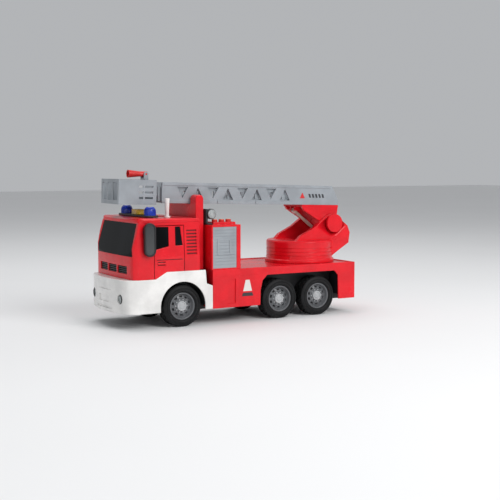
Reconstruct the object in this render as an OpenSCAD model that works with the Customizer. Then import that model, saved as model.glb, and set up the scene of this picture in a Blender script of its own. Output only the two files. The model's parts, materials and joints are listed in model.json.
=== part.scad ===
// Toy fire engine with a slewing, telescopic ladder. Millimetres, +Z up, +X to the front.
// The origin is the middle of the whole toy's box, on the floor it stands on.

/* [Overall] */
// Width over the body sides
body_w = 120; // [104:1:144]
// Length of the cab, from its rear wall to the foot of the windscreen
cab_l = 93; // [82:1:112]
// Length of the rear body, from its tail to the front of its skirt
deck_l = 220.5; // [216:0.5:250]
// Height of the deck's top face above the floor
deck_z = 69.5; // [66:0.5:76]
// Height of the cab roof above the floor
roof_z = 137; // [132:1:141]
// Height of the equipment tower above the deck
tower_h = 56.5; // [48:0.5:62]
// Length of the equipment tower
tower_l = 42; // [41:1:48]

/* [Shells] */
// Thickness of the moulded walls
wall = 2.2; // [1.6:0.1:3]
// How far the bumper stands in front of the cab
bumper_d = 12; // [8:1:16]
// Height of the bumper's lower edge above the floor
sill_z = 20; // [18:1:24]
// Height of the seam between bumper and cab at the front
seam_z = 62; // [60:0.5:64]
// How much higher the seam runs over the front wheels
seam_step = 8.5; // [6:0.5:10]
// Radius of the front wheel arches
arch_r = 31; // [29:0.5:33]

/* [Wheels] */
// Outer radius of the tyres
tyre_r = 26; // [24:0.5:28]
// Width of the tyres
tyre_w = 20; // [16:0.5:21]
// Radius of the rims, where the tyre sits
rim_r = 17; // [15:0.5:18.5]
// Radius of the steel axles
axle_r = 2; // [1.5:0.1:2.5]
// Running clearance of the axles, on the radius
axle_gap = 0.06; // [0.02:0.01:0.1]
// How far the wheels sit inside the body sides
wheel_inset = 2; // [1.5:0.5:5]
// Distance between the two rear axles
rear_spacing = 60; // [58:1:64]
// Distance from the tail to the last axle
tail_overhang = 59; // [58:1:66]
// Distance from the cab's front to the front axle
front_overhang = 70; // [66:1:74]

/* [Ladder] */
// Length of the ladder's outer section
ladder_l = 271; // [240:1:300]
// Height of the ladder's side frames
ladder_h = 26.2; // [22:0.2:30]
// Width over the outer section's side frames
ladder_w = 48; // [44:1:52]
// Slope of the ladder when it lies in its rest, in degrees
ladder_pitch = 1.7; // [0:0.1:3]
// Thickness of the ladder's side frames
frame_t = 3; // [2:0.2:4]
// Length of the ladder's inner section
fly_l = 206; // [180:1:220]
// Distance between rungs
rung_pitch = 12; // [10:1:16]
// Height of the ladder's pivot above the floor
pivot_z = 121.5; // [118:0.5:126]
// Distance from the pivot up to the ladder's underside
cradle_h = 24.7; // [22:0.1:27]
// Radius of the pivot pin
pin_r = 4; // [3:0.25:5]

/* [Turntable] */
// Radius of the turntable drum
drum_r = 46; // [40:1:50]
// Height of the drum above the deck
drum_h = 30; // [24:1:34]
// Distance from the tail to the turntable's centre
turn_from_tail = 52; // [50:1:60]
// Distance from the turntable's centre back to the ladder's pivot
pivot_back = 36; // [30:1:38]
// Gap between the turntable's two cheeks
cheek_gap = 50; // [46:1:54]
// Thickness of each cheek
cheek_t = 6; // [4:0.5:8]

/* [Basket] */
// Length of the basket
basket_l = 51; // [44:1:60]
// Width of the basket
basket_w = 56; // [50:1:64]
// Height of the basket
basket_h = 31; // [26:1:36]
// Thickness of the basket's walls
basket_t = 2; // [1.6:0.2:3]

/* [Details] */
// Travel of the sound buttons
button_travel = 1.5; // [1:0.1:2]
// Radius of the sound buttons
button_r = 3.6; // [3:0.1:4]
// Running gap round moving pieces
run_gap = 0.3; // [0.2:0.05:0.5]
// Radius of the beacon lenses
beacon_r = 7.5; // [6:0.25:8.5]
// Module of the friction motor's gears
gear_m = 0.7; // [0.6:0.05:0.7]
// Radius of an AA cell
cell_r = 7.1; // [7:0.05:7.25]
// Length of an AA cell
cell_l = 50; // [49.5:0.1:50.5]

/* [Hidden] */
$fn = 48;
far = 400;                                   // longer than any piece, for cutters
half_w = body_w/2;
tail_x = -166;                               // the tail's place fixes the origin
skirt_x = tail_x + deck_l;
tower_x1 = skirt_x + 1.5;
tower_x0 = tower_x1 - tower_l;
tower_z = deck_z + tower_h;
rest_gap = 17;                               // space between tower and cab
cab_x0 = tower_x1 + rest_gap;
cab_x1 = cab_x0 + cab_l;
nose_x = cab_x1 + bumper_d;
axle_xs = [cab_x1 - front_overhang, tail_x + tail_overhang + rear_spacing, tail_x + tail_overhang];
turn_x = tail_x + turn_from_tail;
pivot_x = turn_x - pivot_back;
seam_top = seam_z + seam_step;
roof_fall = 1.5;                             // how much lower the roof is at the rear
roof_x = cab_x0 + cab_l - 14;                // where the roof starts to fall
function roof_top(x) = roof_z - roof_fall*(roof_x - x)/(roof_x - cab_x0);
waist_z = seam_z + 27;                       // foot of the windscreen
lip_z = roof_z - 5.5;                        // underside of the roof's lip
screen_lean = 11;                            // how far the windscreen leans back
wheel_y1 = half_w - wheel_inset;
wheel_y0 = wheel_y1 - tyre_w;
tray_w = wheel_y0 - 4;                       // half width of the chassis tray
tray_z0 = 17;
tray_z1 = 56;
tray_x0 = tail_x + 6;
tray_x1 = cab_x1 - 8;
floor_z = tray_z0 + wall;
arch_z = seam_z - 3;                         // top of the rear wheel arch
arch_x0 = axle_xs[2] - tyre_r - 5;
arch_x1 = axle_xs[1] + tyre_r + 2;
fit = 0.05;                                  // slip fit between pieces of one body
ladder_half = ladder_w/2;
ladder_rear = -12;                           // rear end of the ladder, along it from the pivot
ladder_front = ladder_rear + ladder_l;
web_start = 64;                              // where the plain rear plate ends
fly_half = ladder_half - frame_t - 1;
fly_front = ladder_front + 3.5;
cradle_half = cheek_gap/2 - 1.2;
rest_x = cab_x0 - 9;                         // middle of the ladder rest
post_r = 5.5;
post_in = ladder_half + 2.5;
post_w = 16;
drum_z = deck_z + drum_h;
strut_foot = [-4, -21];                      // lower strut pivot, from the ladder's pivot
strut_head = [50, 19.2];                     // upper strut end, from the ladder's pivot
strut_span = strut_head - strut_foot;
strut_tilt = atan2(strut_span[1], strut_span[0]);
strut_l = norm(strut_span);
basket_x = ladder_front + 9.4;               // rear face of the basket, along the ladder
basket_w0 = cradle_h - 2.1;                  // its floor's underside, above the pivot
monitor_in = 4.2;                            // the monitor's axis, in from the basket's rear
monitor_u = basket_x + monitor_in;
button_step = 10;
button_xs = [for (i = [0:2]) tower_x0 + 7.5 + i*button_step];
button_y = half_w - 20;
console_z = tower_z + 3;
screw_xs = [tail_x + 18, tower_x0 - 22, cab_x0 - 1, cab_x1 - 20];
screw_y = tray_w - 9;
screw_r = 1.4;
lamp_y = half_w - 20;                        // front lamps, out from the middle
lamp_z = sill_z + 18;
lamp_r = 5;
beacon_x = cab_x1 - 36;
beacon_y = half_w - 24;
big_teeth = 24;
small_teeth = 8;
gear_step = (big_teeth + small_teeth)*gear_m/2;
big_tip = (big_teeth/2 + 0.8)*gear_m;
gear_y = 6;                                  // where the axle gear's face lies across the toy
flywheel_r = gear_step - 2.2;
gear_a1 = 45;                                // direction from the axle to the middle shaft
gear_a2 = 20;                                // direction from there to the flywheel's shaft
shaft2 = [axle_xs[1] + gear_step*cos(gear_a1), tyre_r + gear_step*sin(gear_a1)];
shaft3 = [shaft2[0] + gear_step*cos(gear_a2), shaft2[1] + gear_step*sin(gear_a2)];
cover_x0 = tower_x0 - 8;
cover_l = cell_l + 9;
cover_half = 3*cell_r + 4.5;

// ---------- shared shapes ----------

// Box between two corners
module block(lo, hi) translate(lo) cube(hi - lo);

// Outline in X and Z, as thick in Y as from y0 to y1
module side_plate(y0, y1) translate([0, y1, 0]) rotate([90, 0, 0]) linear_extrude(y1 - y0) children();

// Outline in Y and Z, as thick in X as from x0 to x1
module cross_plate(x0, x1) translate([x0, 0, 0]) rotate([90, 0, 90]) linear_extrude(x1 - x0) children();

// Round bar along Y and along X
module rod_y(r, x, z, y0, y1) translate([x, y1, z]) rotate([90, 0, 0]) cylinder(r=r, h=y1 - y0);
module rod_x(r, y, z, x0, x1) translate([x0, y, z]) rotate([0, 90, 0]) cylinder(r=r, h=x1 - x0);

// Rectangle with rounded corners
module round_rect(lo, hi, r) {
    translate([lo[0] + r, lo[1]]) square([hi[0] - lo[0] - 2*r, hi[1] - lo[1]]);
    translate([lo[0], lo[1] + r]) square([hi[0] - lo[0], hi[1] - lo[1] - 2*r]);
    for (x = [lo[0] + r, hi[0] - r], y = [lo[1] + r, hi[1] - r]) translate([x, y]) circle(r);
}

// The same shape on the left and on the right
module both_sides() {
    children();
    mirror([0, 1, 0]) children();
}

// Places its children in the ladder's own frame: X along it from the pivot, Z up from the pivot
module on_ladder() translate([pivot_x, 0, pivot_z]) rotate([0, -ladder_pitch, 0]) children();

// Places its children along the strut: X from its foot to its head
module on_strut() {
    on_ladder() translate([strut_foot[0], 0, strut_foot[1]]) rotate([0, -strut_tilt, 0]) children();
}

// Height of the ladder's underside above the floor at a place along the toy
function ladder_under(x) = pivot_z + cradle_h/cos(ladder_pitch) + (x - pivot_x)*tan(ladder_pitch);

// Bowed nose in plan: the outline from one side to the other, then straight back
function nose(front, half, bow, corner) = [for (i = [-16:16]) let (t = i/16, a = abs(t),
    c = max(0, a*half - (half - corner))/corner)
    [front - bow*a*a - corner*(1 - sqrt(max(0, 1 - c*c))), t*half]];
module nose_plan(front, rear, half, bow, corner) {
    polygon(concat([[rear, -half]], nose(front, half, bow, corner), [[rear, half]]));
}

// ---------- cab and bumper ----------

// Solid cab, drawn in by the given amount on every face but the open underside
module cab_solid(in) {
    intersection() {
        side_plate(-far, far) polygon([[cab_x0 + in, seam_top - (in > 0 ? 40 : 0)],
            [cab_x0 + in, roof_z - roof_fall - 0.4 - in], [roof_x - 5 - in, roof_z - 0.4 - in],
            [cab_x1 - screen_lean - in, lip_z], [cab_x1 - in, waist_z],
            [cab_x1 - in, seam_z - (in > 0 ? 40 : 0)],
            [axle_xs[0] + arch_r + 6.5, seam_z - (in > 0 ? 40 : 0)],
            [axle_xs[0] + arch_r - 8.5, seam_top - (in > 0 ? 40 : 0)]]);
        linear_extrude(far) nose_plan(cab_x1 - in, cab_x0 + in, half_w - in, 3, 7);
        cross_plate(0, far) polygon([[-half_w + in, 0], [half_w - in, 0], [half_w - in, waist_z],
            [half_w - 2.5 - in, roof_z - 3 - in], [half_w - 5.5 - in, roof_z - in],
            [-half_w + 5.5 + in, roof_z - in], [-half_w + 2.5 + in, roof_z - 3 - in],
            [-half_w + in, waist_z]]);
    }
}

// The cab's window openings, drawn in by the given amount
module windows(in) {
    cross_plate(cab_x1 - 26, far) polygon([[-half_w + 5 + in, waist_z + 1.5 + in],
        [half_w - 5 - in, waist_z + 1.5 + in], [half_w - 8 - in, lip_z - 1 - in],
        [-half_w + 8 + in, lip_z - 1 - in]]);
    both_sides() side_plate(half_w - 12, far) {
        polygon([[cab_x0 + 42.5 + in, waist_z + 13 + in], [cab_x1 - 22 - in, waist_z + 7 + in],
            [cab_x1 - 29 - in, lip_z - 5 - in], [cab_x0 + 42.5 + in, lip_z - 5.5 - in]]);
        polygon([[cab_x0 + 23.5 + in, waist_z + 13.5 + in], [cab_x0 + 33.5 - in, waist_z + 13.5 + in],
            [cab_x0 + 33.5 - in, lip_z - 5.5 - in], [cab_x0 + 26.5 + in, lip_z - 5.5 - in]]);
    }
}

// Three openings for the grille
grille_z = [seam_z + 6.5, seam_z + 16];
grille_ys = [[-half_w + 18, -half_w + 44], [-half_w + 47, half_w - 47], [half_w - 44, half_w - 18]];
module grille_cuts(in) {
    for (g = grille_ys) block([cab_x1 - 12, g[0] + in, grille_z[0] + in], [far, g[1] - in, grille_z[1] - in]);
}

module cab_shell() color([0.84, 0.06, 0.08]) {
    difference() {
        union() {
            cab_solid(0);
            // Roof panel with its lip over the windscreen
            intersection() {
                side_plate(-far, far) polygon([[cab_x0, lip_z], [cab_x1 - screen_lean + 3, lip_z],
                    [cab_x1 - screen_lean + 3, roof_z - 2.5], [roof_x, roof_z],
                    [cab_x0, roof_z - roof_fall]]);
                linear_extrude(far) nose_plan(cab_x1 - screen_lean + 3, cab_x0, half_w - 1.5, 2, 8);
                cross_plate(0, far) polygon([[-half_w, 0], [half_w, 0], [half_w, roof_z - 3.5],
                    [half_w - 4.5, roof_z], [-half_w + 4.5, roof_z], [-half_w, roof_z - 3.5]]);
            }
        }
        cab_solid(wall);
        windows(0);
        grille_cuts(0);
    }
    // Screw posts down to the chassis floor
    for (x = [screw_xs[2] + 8, screw_xs[3]]) both_sides() difference() {
        translate([x, screw_y, floor_z]) cylinder(r=3.5, h=lip_z + 2 - floor_z);
        translate([x, screw_y, floor_z - 1]) cylinder(r=screw_r + fit, h=15);
    }
}

module window_insert() color([0.06, 0.06, 0.07]) difference() {
    union() {
        intersection() {
            difference() {
                cab_solid(wall + fit);
                cab_solid(wall + 1.4);
            }
            block([cab_x0 + 15, -far, waist_z - 3], [far, far, lip_z]);
        }
        intersection() {
            difference() {
                cab_solid(0.5);
                cab_solid(wall);
            }
            windows(fit);
        }
    }
    for (y = [screw_y, -screw_y]) translate([screw_xs[3], y, 0]) cylinder(r=3.5 + fit, h=far);
}

module front_grille() color([0.05, 0.05, 0.05]) {
    block([cab_x1 - 10.5, grille_ys[0][0] - 3, grille_z[0] - 3],
          [cab_x1 - 9, grille_ys[2][1] + 3, grille_z[1] + 3]);
    intersection() {
        cab_solid(1.2);
        grille_cuts(fit);
        block([cab_x1 - 10, -half_w, grille_z[0]], [far, half_w, grille_z[1]]);
    }
}

// Bumper and front wings in one white piece, with room for the wheels
module wing_outline(grow) {
    polygon([[skirt_x, sill_z], [nose_x + 5, sill_z], [nose_x + 5, seam_z],
        [axle_xs[0] + arch_r + 6.5, seam_z], [axle_xs[0] + arch_r - 8.5, seam_top],
        [axle_xs[0] - arch_r - 0.5, seam_top], [axle_xs[0] - arch_r - 2, seam_z - 9],
        [skirt_x, seam_z - 12]]);
}

module front_bumper() color([0.93, 0.92, 0.9]) difference() {
    union() {
        difference() {
            intersection() {
                side_plate(-far, far) wing_outline(0);
                linear_extrude(far) nose_plan(nose_x, skirt_x, half_w, 9, 12);
            }
            translate([0, 0, -1]) linear_extrude(far)
                nose_plan(nose_x - wall, skirt_x - 1, half_w - wall, 9, 10);
        }
        // Shelf behind the front, under the cab's lower edge
        intersection() {
            linear_extrude(seam_z) nose_plan(nose_x - 1, cab_x1 - 5, half_w - 1, 9, 11);
            block([cab_x1 - 4.5, -far, seam_z - 3], [far, far, seam_z]);
        }
    }
    both_sides() rod_y(arch_r, axle_xs[0], tyre_r, half_w - 10, far);
    both_sides() block([axle_xs[0] - arch_r, half_w - 10, 0], [axle_xs[0] + arch_r, far, tyre_r]);
    both_sides() rod_x(lamp_r + fit, lamp_y, lamp_z, cab_x1 - 10, far);
}

module headlights() color([0.12, 0.12, 0.13]) both_sides() intersection() {
    rod_x(lamp_r, lamp_y, lamp_z, cab_x1 - 4, nose_x);
    linear_extrude(far) nose_plan(nose_x - 0.8, cab_x1 - 8, half_w, 9, 12);
}

// Mirror head: a tall oval seen from the side, on a short arm from the windscreen post
mirror_x = cab_x1 - 23;
mirror_z = waist_z + 22;
module mirror_head() {
    side_plate(half_w + 1, half_w + 6) {
        translate([mirror_x - 7.5, mirror_z - 13]) square([15, 26]);
        for (z = [-13, 13]) translate([mirror_x, mirror_z + z]) circle(7.5);
    }
    block([mirror_x, half_w - 3, mirror_z + 7], [mirror_x + 7, half_w + 1, mirror_z + 12]);
}
module mirror_left() color([0.06, 0.06, 0.06]) difference() {
    mirror_head();
    cab_solid(-0.02);
}
module mirror_right() color([0.06, 0.06, 0.06]) mirror([0, 1, 0]) difference() {
    mirror_head();
    cab_solid(-0.02);
}

module light_bar_base() color([0.08, 0.08, 0.09]) {
    translate([0, 0, roof_z]) linear_extrude(2.5) round_rect([beacon_x - 9, -beacon_y - 9],
                                                            [beacon_x + 9, beacon_y + 9], 4);
}
module blue_lens() translate([beacon_x, beacon_y, roof_z + 2.5]) rotate_extrude() {
    square([beacon_r, 4.5]);
    intersection() {
        translate([0, 4.5]) circle(beacon_r);
        translate([0, 4.5]) square([beacon_r, min(beacon_r, 6)]);
    }
}
module blue_lens_left() color([0.1, 0.25, 0.8]) blue_lens();
module blue_lens_right() color([0.1, 0.25, 0.8]) mirror([0, 1, 0]) blue_lens();
module amber_lens() color([0.95, 0.7, 0.1]) {
    translate([0, 0, roof_z + 2.5]) linear_extrude(6.5) round_rect([beacon_x - 6, -9], [beacon_x + 6, 9], 3);
}

module roof_horn() color([0.92, 0.9, 0.84]) translate([cab_x0 + 33, half_w - 25, roof_top(cab_x0 + 37)]) {
    cylinder(r=4, h=2);
    cylinder(r1=2.2, r2=3.2, h=24);
}

// ---------- ladder rest ----------

rest_z = ladder_under(rest_x) - 0.4;
module ladder_rest() color([0.8, 0.06, 0.08]) difference() {
    union() {
        block([rest_x - post_r, -post_in - post_w, deck_z], [rest_x + post_r, post_in + post_w, rest_z]);
        both_sides() side_plate(post_in, post_in + post_w) {
            translate([rest_x - post_r, deck_z]) square([2*post_r, rest_z + 6.5 - deck_z]);
            translate([rest_x, rest_z + 6.5]) circle(post_r);
        }
    }
    // Hollow from below
    block([rest_x - post_r + wall, -post_in - post_w + wall, deck_z - 1],
          [rest_x + post_r - wall, post_in + post_w - wall, rest_z - 4]);
}

// ---------- rear body ----------

module rear_body() color([0.84, 0.06, 0.08]) {
    difference() {
        block([tail_x, -half_w, sill_z], [skirt_x, half_w, deck_z]);
        block([tail_x + wall, -half_w + wall, 0], [skirt_x - wall, half_w - wall, deck_z - 3]);
        // Sunken deck behind the tower, inside its raised rim
        block([tail_x + 3, -half_w + 3, deck_z - 1], [tower_x0 - 1, half_w - 3, far]);
        // Wheel arches over both rear axles
        both_sides() side_plate(half_w - 10, far) polygon([[arch_x0 - 2, 0], [arch_x0, arch_z - 6],
            [arch_x0 + 6, arch_z], [arch_x1 - 7, arch_z], [arch_x1, arch_z - 7],
            [arch_x1 + 3, 40], [arch_x1 + 4, 0]]);
        // Lower edge of the tail is open under the last panel
        block([tail_x - 1, -tray_w, 0], [tail_x + 8, tray_w, sill_z + 10]);
        // Passage for the chassis tray through the front wall
        block([skirt_x - wall - 1, -tray_w - fit, 0], [skirt_x + 1, tray_w + fit, tray_z1 + fit]);
        // Pivot hole for the turntable's spigot
        translate([turn_x, 0, 0]) cylinder(r=12 + run_gap/4, h=far);
        // Tail lamps
        both_sides() block([tail_x - 1, half_w - 16, 40], [tail_x + wall + 1, half_w - 6, 54]);
    }
    // Screw posts down to the chassis floor
    for (x = [screw_xs[0], screw_xs[1]]) both_sides() difference() {
        translate([x, screw_y, floor_z]) cylinder(r=3.5, h=deck_z - 2 - floor_z);
        translate([x, screw_y, floor_z - 1]) cylinder(r=screw_r + fit, h=15);
    }
}

module arch_liners() color([0.07, 0.07, 0.07]) both_sides() {
    // Rear liner: roof and ends round both wheels
    difference() {
        block([arch_x0 - 5, tray_w + 1, tyre_r], [arch_x1 + 7, half_w - wall - fit, arch_z + 2.5]);
        block([arch_x0 - 3, tray_w, 0], [arch_x1 + 5, half_w, arch_z + 0.7]);
    }
    // Front liner: a half ring round the wheel
    difference() {
        rod_y(arch_r + 2, axle_xs[0], tyre_r, tray_w + 1, half_w - wall - fit);
        rod_y(arch_r + 0.3, axle_xs[0], tyre_r, tray_w, half_w);
        block([0, 0, -far], [far, far, tyre_r]);
    }
}

module tail_lamps() color([0.75, 0.08, 0.05]) both_sides() {
    block([tail_x + 0.4, half_w - 16 + fit, 40 + fit], [tail_x + wall + 1.5, half_w - 6 - fit, 54 - fit]);
}

// ---------- equipment tower ----------

shutter_x = [tower_x0 + 6, tower_x1 - 2];
shutter_z = [deck_z + 1.5, tower_z - 2.5];
module equipment_tower() color([0.84, 0.06, 0.08]) difference() {
    union() {
        difference() {
            block([tower_x0, -half_w, deck_z], [tower_x1, half_w, tower_z]);
            block([tower_x0 + wall, -half_w + wall + 1.6, deck_z - 1],
                  [tower_x1 - wall, half_w - wall - 1.6, tower_z - wall]);
        }
        // Console round the sound buttons
        block([tower_x0 + 1, button_y - 8, tower_z - wall], [button_xs[2] + 6, button_y + 8, console_z]);
    }
    both_sides() block([shutter_x[0], half_w - 2, shutter_z[0]], [shutter_x[1], far, shutter_z[1]]);
    for (x = button_xs) translate([x, button_y, tower_z - 10]) cylinder(r=button_r + run_gap, h=far);
}

module shutter() {
    difference() {
        block([shutter_x[0] + fit, half_w - 2, shutter_z[0] + fit],
              [shutter_x[1] - fit, half_w - 0.6, shutter_z[1] - fit]);
        for (z = [shutter_z[0] + 4:4:shutter_z[1] - 3])
            block([shutter_x[0] + 2, half_w - 1.1, z], [shutter_x[1] - 2, far, z + 0.8]);
    }
    side_plate(half_w - 1.5, half_w) difference() {
        round_rect([shutter_x[0] + 8, shutter_z[0] + 17], [shutter_x[1] - 6, shutter_z[0] + 37], 2);
        round_rect([shutter_x[0] + 10, shutter_z[0] + 19], [shutter_x[1] - 8, shutter_z[0] + 35], 1);
    }
}
module shutter_left() color([0.66, 0.68, 0.69]) shutter();
module shutter_right() color([0.66, 0.68, 0.69]) mirror([0, 1, 0]) shutter();

lamp2_x = tower_x1 - 8;
lamp2_z = tower_z + 13.5;
module search_lamp_bracket() color([0.07, 0.07, 0.07]) {
    block([tower_x1 - 7.5, half_w - 26, tower_z], [tower_x1, half_w - 12, tower_z + 2]);
    block([tower_x1 - 3, half_w - 24, tower_z + 2], [tower_x1, half_w - 16, tower_z + 20]);
    rod_y(6.6, lamp2_x, lamp2_z, half_w - 21, half_w - 14.5);
}
module search_lamp_lens() color([0.75, 0.78, 0.78]) {
    rod_y(5.8, lamp2_x, lamp2_z, half_w - 14.5 + fit, half_w - 13);
}

module sound_button(x) color([0.9, 0.15, 0.12]) translate([x, button_y, 0]) {
    translate([0, 0, console_z - 6]) cylinder(r=button_r, h=6 + button_travel + 1.7);
    translate([0, 0, console_z - 7.5]) cylinder(r=button_r + 1, h=1.5);
}
module button_1() sound_button(button_xs[0]);
module button_2() sound_button(button_xs[1]);
module button_3() sound_button(button_xs[2]);

board_z = console_z - 7.5 - button_travel - 0.6;
module sound_board() color([0.1, 0.4, 0.2]) {
    block([tower_x0 + wall, button_y - 11, board_z - 1.6], [tower_x1 - wall, button_y + 11, board_z]);
}

speaker_x = cab_x1 - 38;
module speaker() color([0.2, 0.2, 0.22]) translate([speaker_x, 0, floor_z]) {
    cylinder(r=14, h=2);
    cylinder(r1=13, r2=8, h=7);
    cylinder(r=8, h=10);
}

// ---------- chassis and what it holds ----------

module chassis() color([0.08, 0.08, 0.09]) {
    difference() {
        block([tray_x0, -tray_w, tray_z0], [tray_x1, tray_w, tray_z1]);
        block([tray_x0 + wall, -tray_w + wall, floor_z], [tray_x1 - wall, tray_w - wall, far]);
        for (x = axle_xs) rod_y(axle_r + axle_gap, x, tyre_r, -tray_w - 1, tray_w + 1);
        // Battery hatch, speaker slots and switch slot in the floor
        block([cover_x0, -cover_half, 0], [cover_x0 + cover_l, cover_half, floor_z + 1]);
        for (i = [-3:3]) block([speaker_x + 3.5*i - 0.8, -9, 0], [speaker_x + 3.5*i + 0.8, 9, floor_z + 1]);
        block([switch_x - 6, -3, 0], [switch_x + 6, 3, floor_z + 1]);
        // Screw holes, with their heads sunk
        for (x = body_screw_xs, y = [-screw_y, screw_y]) translate([x, y, 0]) {
            cylinder(r=screw_r + fit, h=far);
            cylinder(r=3 + fit, h=tray_z0 + 1);
        }
        // Two holes for the carton's holding screws
        for (x = tie_xs) translate([x, 0, 0]) cylinder(r=tie_r, h=far);
        // Slot that the axle gear dips into
        block([axle_xs[1] - big_tip - 1, gear_y - 1, 0], [axle_xs[1] + big_tip + 1, gear_y + 5, floor_z + 1]);
    }
    // Ledges that carry the battery cells
    for (y = [-1, 1]*(cover_half - 2.8)) block([cover_x0 - 0.1, y - 0.8, floor_z + 4],
                                                       [cover_x0 + cover_l + 0.1, y + 0.8, floor_z + 12]);
    for (x = [cover_x0 - 1.6, cover_x0 + cover_l]) block([x, -tray_w + wall - 0.1, tray_z0],
                                                       [x + 1.6, tray_w - wall + 0.1, floor_z + 18]);
    // Bridges that tie the tray to the bumper and to the tail
    block([tray_x1 - 0.1, -20, tray_z0 + 4], [nose_x - wall - 9.4, 20, tray_z0 + 8]);
    block([tail_x + wall, -20, tray_z1 - 6], [tray_x0 + 0.1, 20, tray_z1]);
}

body_screw_xs = [screw_xs[0], screw_xs[1], screw_xs[2] + 8, screw_xs[3]];
tie_r = 1.6;
tie_xs = [tail_x + 46, cab_x1 - 62];
switch_x = tail_x + 30;

module body_screws() color([0.75, 0.75, 0.77]) for (x = body_screw_xs, y = [-screw_y, screw_y]) {
    translate([x, y, tray_z0 - 0.6]) difference() {
        union() {
            cylinder(r=3, h=1.6);
            cylinder(r=screw_r, h=12);
        }
        block([-2, -0.4, -1], [2, 0.4, 0.6]);
        block([-0.4, -2, -1], [0.4, 2, 0.6]);
    }
}

module batteries() color([0.3, 0.3, 0.32]) for (y = [-1, 0, 1]*(2*cell_r + 0.6)) {
    rod_x(cell_r, y, floor_z + run_gap + cell_r, cover_x0 + 4, cover_x0 + 4 + cell_l - 1);
    rod_x(2.75, y, floor_z + run_gap + cell_r, cover_x0 + 3 + cell_l, cover_x0 + 4 + cell_l);
}

module battery_cover() color([0.1, 0.1, 0.11]) difference() {
    union() {
        block([cover_x0 + 0.2, -cover_half + 0.2, tray_z0], [cover_x0 + cover_l - 0.2, cover_half - 0.2, floor_z]);
        for (y = [-1, 1]*(cell_r + 0.3)) block([cover_x0 + 6, y - 0.25, floor_z - 0.5],
                                              [cover_x0 + cell_l, y + 0.25, floor_z + 0.8]);
    }
    for (i = [0:5]) block([cover_x0 + 40 + 2*i, -10, 0], [cover_x0 + 41 + 2*i, 10, tray_z0 + 0.5]);
}

module power_switch() color([0.85, 0.85, 0.83]) {
    block([switch_x - 4, -3 + 0.2, tray_z0 - 1.2], [switch_x + 0.5, 3 - 0.2, floor_z + 0.3]);
    block([switch_x - 8, -5, floor_z + 0.3], [switch_x + 4.5, 5, floor_z + 1.8]);
}

// ---------- friction motor ----------

function tooth_ring(teeth, tip, root, phase) = [for (i = [0:teeth - 1], k = [0:3])
    let (a = phase + 360/teeth*(i + [-0.33, -0.12, 0.12, 0.33][k]), r = (k == 0 || k == 3) ? root : tip)
    [r*cos(a), r*sin(a)]];
module gear(centre, teeth, bore, phase, y0, y1) translate([centre[0], 0, centre[1]])
    side_plate(y0, y1) difference() {
        polygon(tooth_ring(teeth, (teeth/2 + 0.8)*gear_m, (teeth/2 - 1.15)*gear_m, phase));
        if (bore > 0) circle(bore);
    }

module axle_gear() color([0.92, 0.9, 0.82]) {
    gear([axle_xs[1], tyre_r], big_teeth, axle_r + 0.02, gear_a1, gear_y, gear_y + 4);
}
small_phase = gear_a1 + 180 + 180/small_teeth;
big_phase = gear_a2;
module gear_cluster() color([0.92, 0.9, 0.82]) {
    gear(shaft2, small_teeth, 0, small_phase, gear_y - 0.5, gear_y + 5);
    gear(shaft2, big_teeth, 0, big_phase, gear_y - 4.5, gear_y - 0.5);
    rod_y(1.5, shaft2[0], shaft2[1], -18.5, 18.5);
}
module flywheel() color([0.6, 0.6, 0.62]) {
    gear(shaft3, small_teeth, 0, gear_a2 + 180 + 180/small_teeth, gear_y - 5, gear_y - 0.3);
    rod_y(1.5, shaft3[0], shaft3[1], -18.5, 18.5);
    rod_y(flywheel_r, shaft3[0], shaft3[1], -14, -4);
}
module gearbox_frame() color([0.15, 0.15, 0.16]) for (y = [-18, 16]) difference() {
    side_plate(y, y + 2) polygon([[axle_xs[1] - 12, floor_z], [shaft3[0] + 10, floor_z],
        [shaft3[0] + 10, shaft3[1] + 10], [axle_xs[1] - 12, shaft3[1] + 10]]);
    rod_y(axle_r + axle_gap, axle_xs[1], tyre_r, y - 1, y + 3);
    rod_y(1.5 + axle_gap, shaft2[0], shaft2[1], y - 1, y + 3);
    rod_y(1.5 + axle_gap, shaft3[0], shaft3[1], y - 1, y + 3);
}

// ---------- wheels ----------

module axle(i) color([0.75, 0.75, 0.77]) rod_y(axle_r, axle_xs[i], tyre_r, -wheel_y1 + 4, wheel_y1 - 4);
module front_axle() axle(0);
module rear_axle_front() axle(1);
module rear_axle_back() axle(2);

// A wheel's half profile runs across its width from the inner to the outer face
module tyre(i, side) color([0.13, 0.13, 0.14]) mirror([0, side, 0]) translate([axle_xs[i], wheel_y0, tyre_r])
    rotate([-90, 0, 0]) rotate_extrude() difference() {
        polygon([[rim_r + fit, 1.5], [rim_r + 2, 0], [tyre_r - 2, 0], [tyre_r, 2], [tyre_r, tyre_w - 2],
            [tyre_r - 2, tyre_w], [rim_r + 2, tyre_w], [rim_r + fit, tyre_w - 1.5]]);
        for (y = [0.33, 0.67]*tyre_w) translate([tyre_r - 1, y - 0.6]) square([2, 1.2]);
    }
module rim(i, side) color([0.42, 0.43, 0.44]) mirror([0, side, 0]) translate([axle_xs[i], wheel_y0, tyre_r])
    rotate([-90, 0, 0]) {
        rotate_extrude() {
            translate([rim_r - 2, 1.5]) square([2, tyre_w - 3]);
            translate([axle_r + 0.02, tyre_w - 8]) square([rim_r - axle_r - 1, 2]);
            translate([axle_r + 0.02, 2]) square([3.5, tyre_w - 7]);
        }
        difference() {
            translate([0, 0, tyre_w - 7]) cylinder(r=6, h=5.5);
            cylinder(r=axle_r + 0.02, h=tyre_w - 3.5);
        }
        for (k = [0:5]) rotate(60*k) translate([10.5, 0, tyre_w - 7]) cylinder(r=1.4, h=2.2, $fn=24);
    }
module tyre_1_left() tyre(0, 0);
module tyre_1_right() tyre(0, 1);
module tyre_2_left() tyre(1, 0);
module tyre_2_right() tyre(1, 1);
module tyre_3_left() tyre(2, 0);
module tyre_3_right() tyre(2, 1);
module rim_1_left() rim(0, 0);
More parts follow.
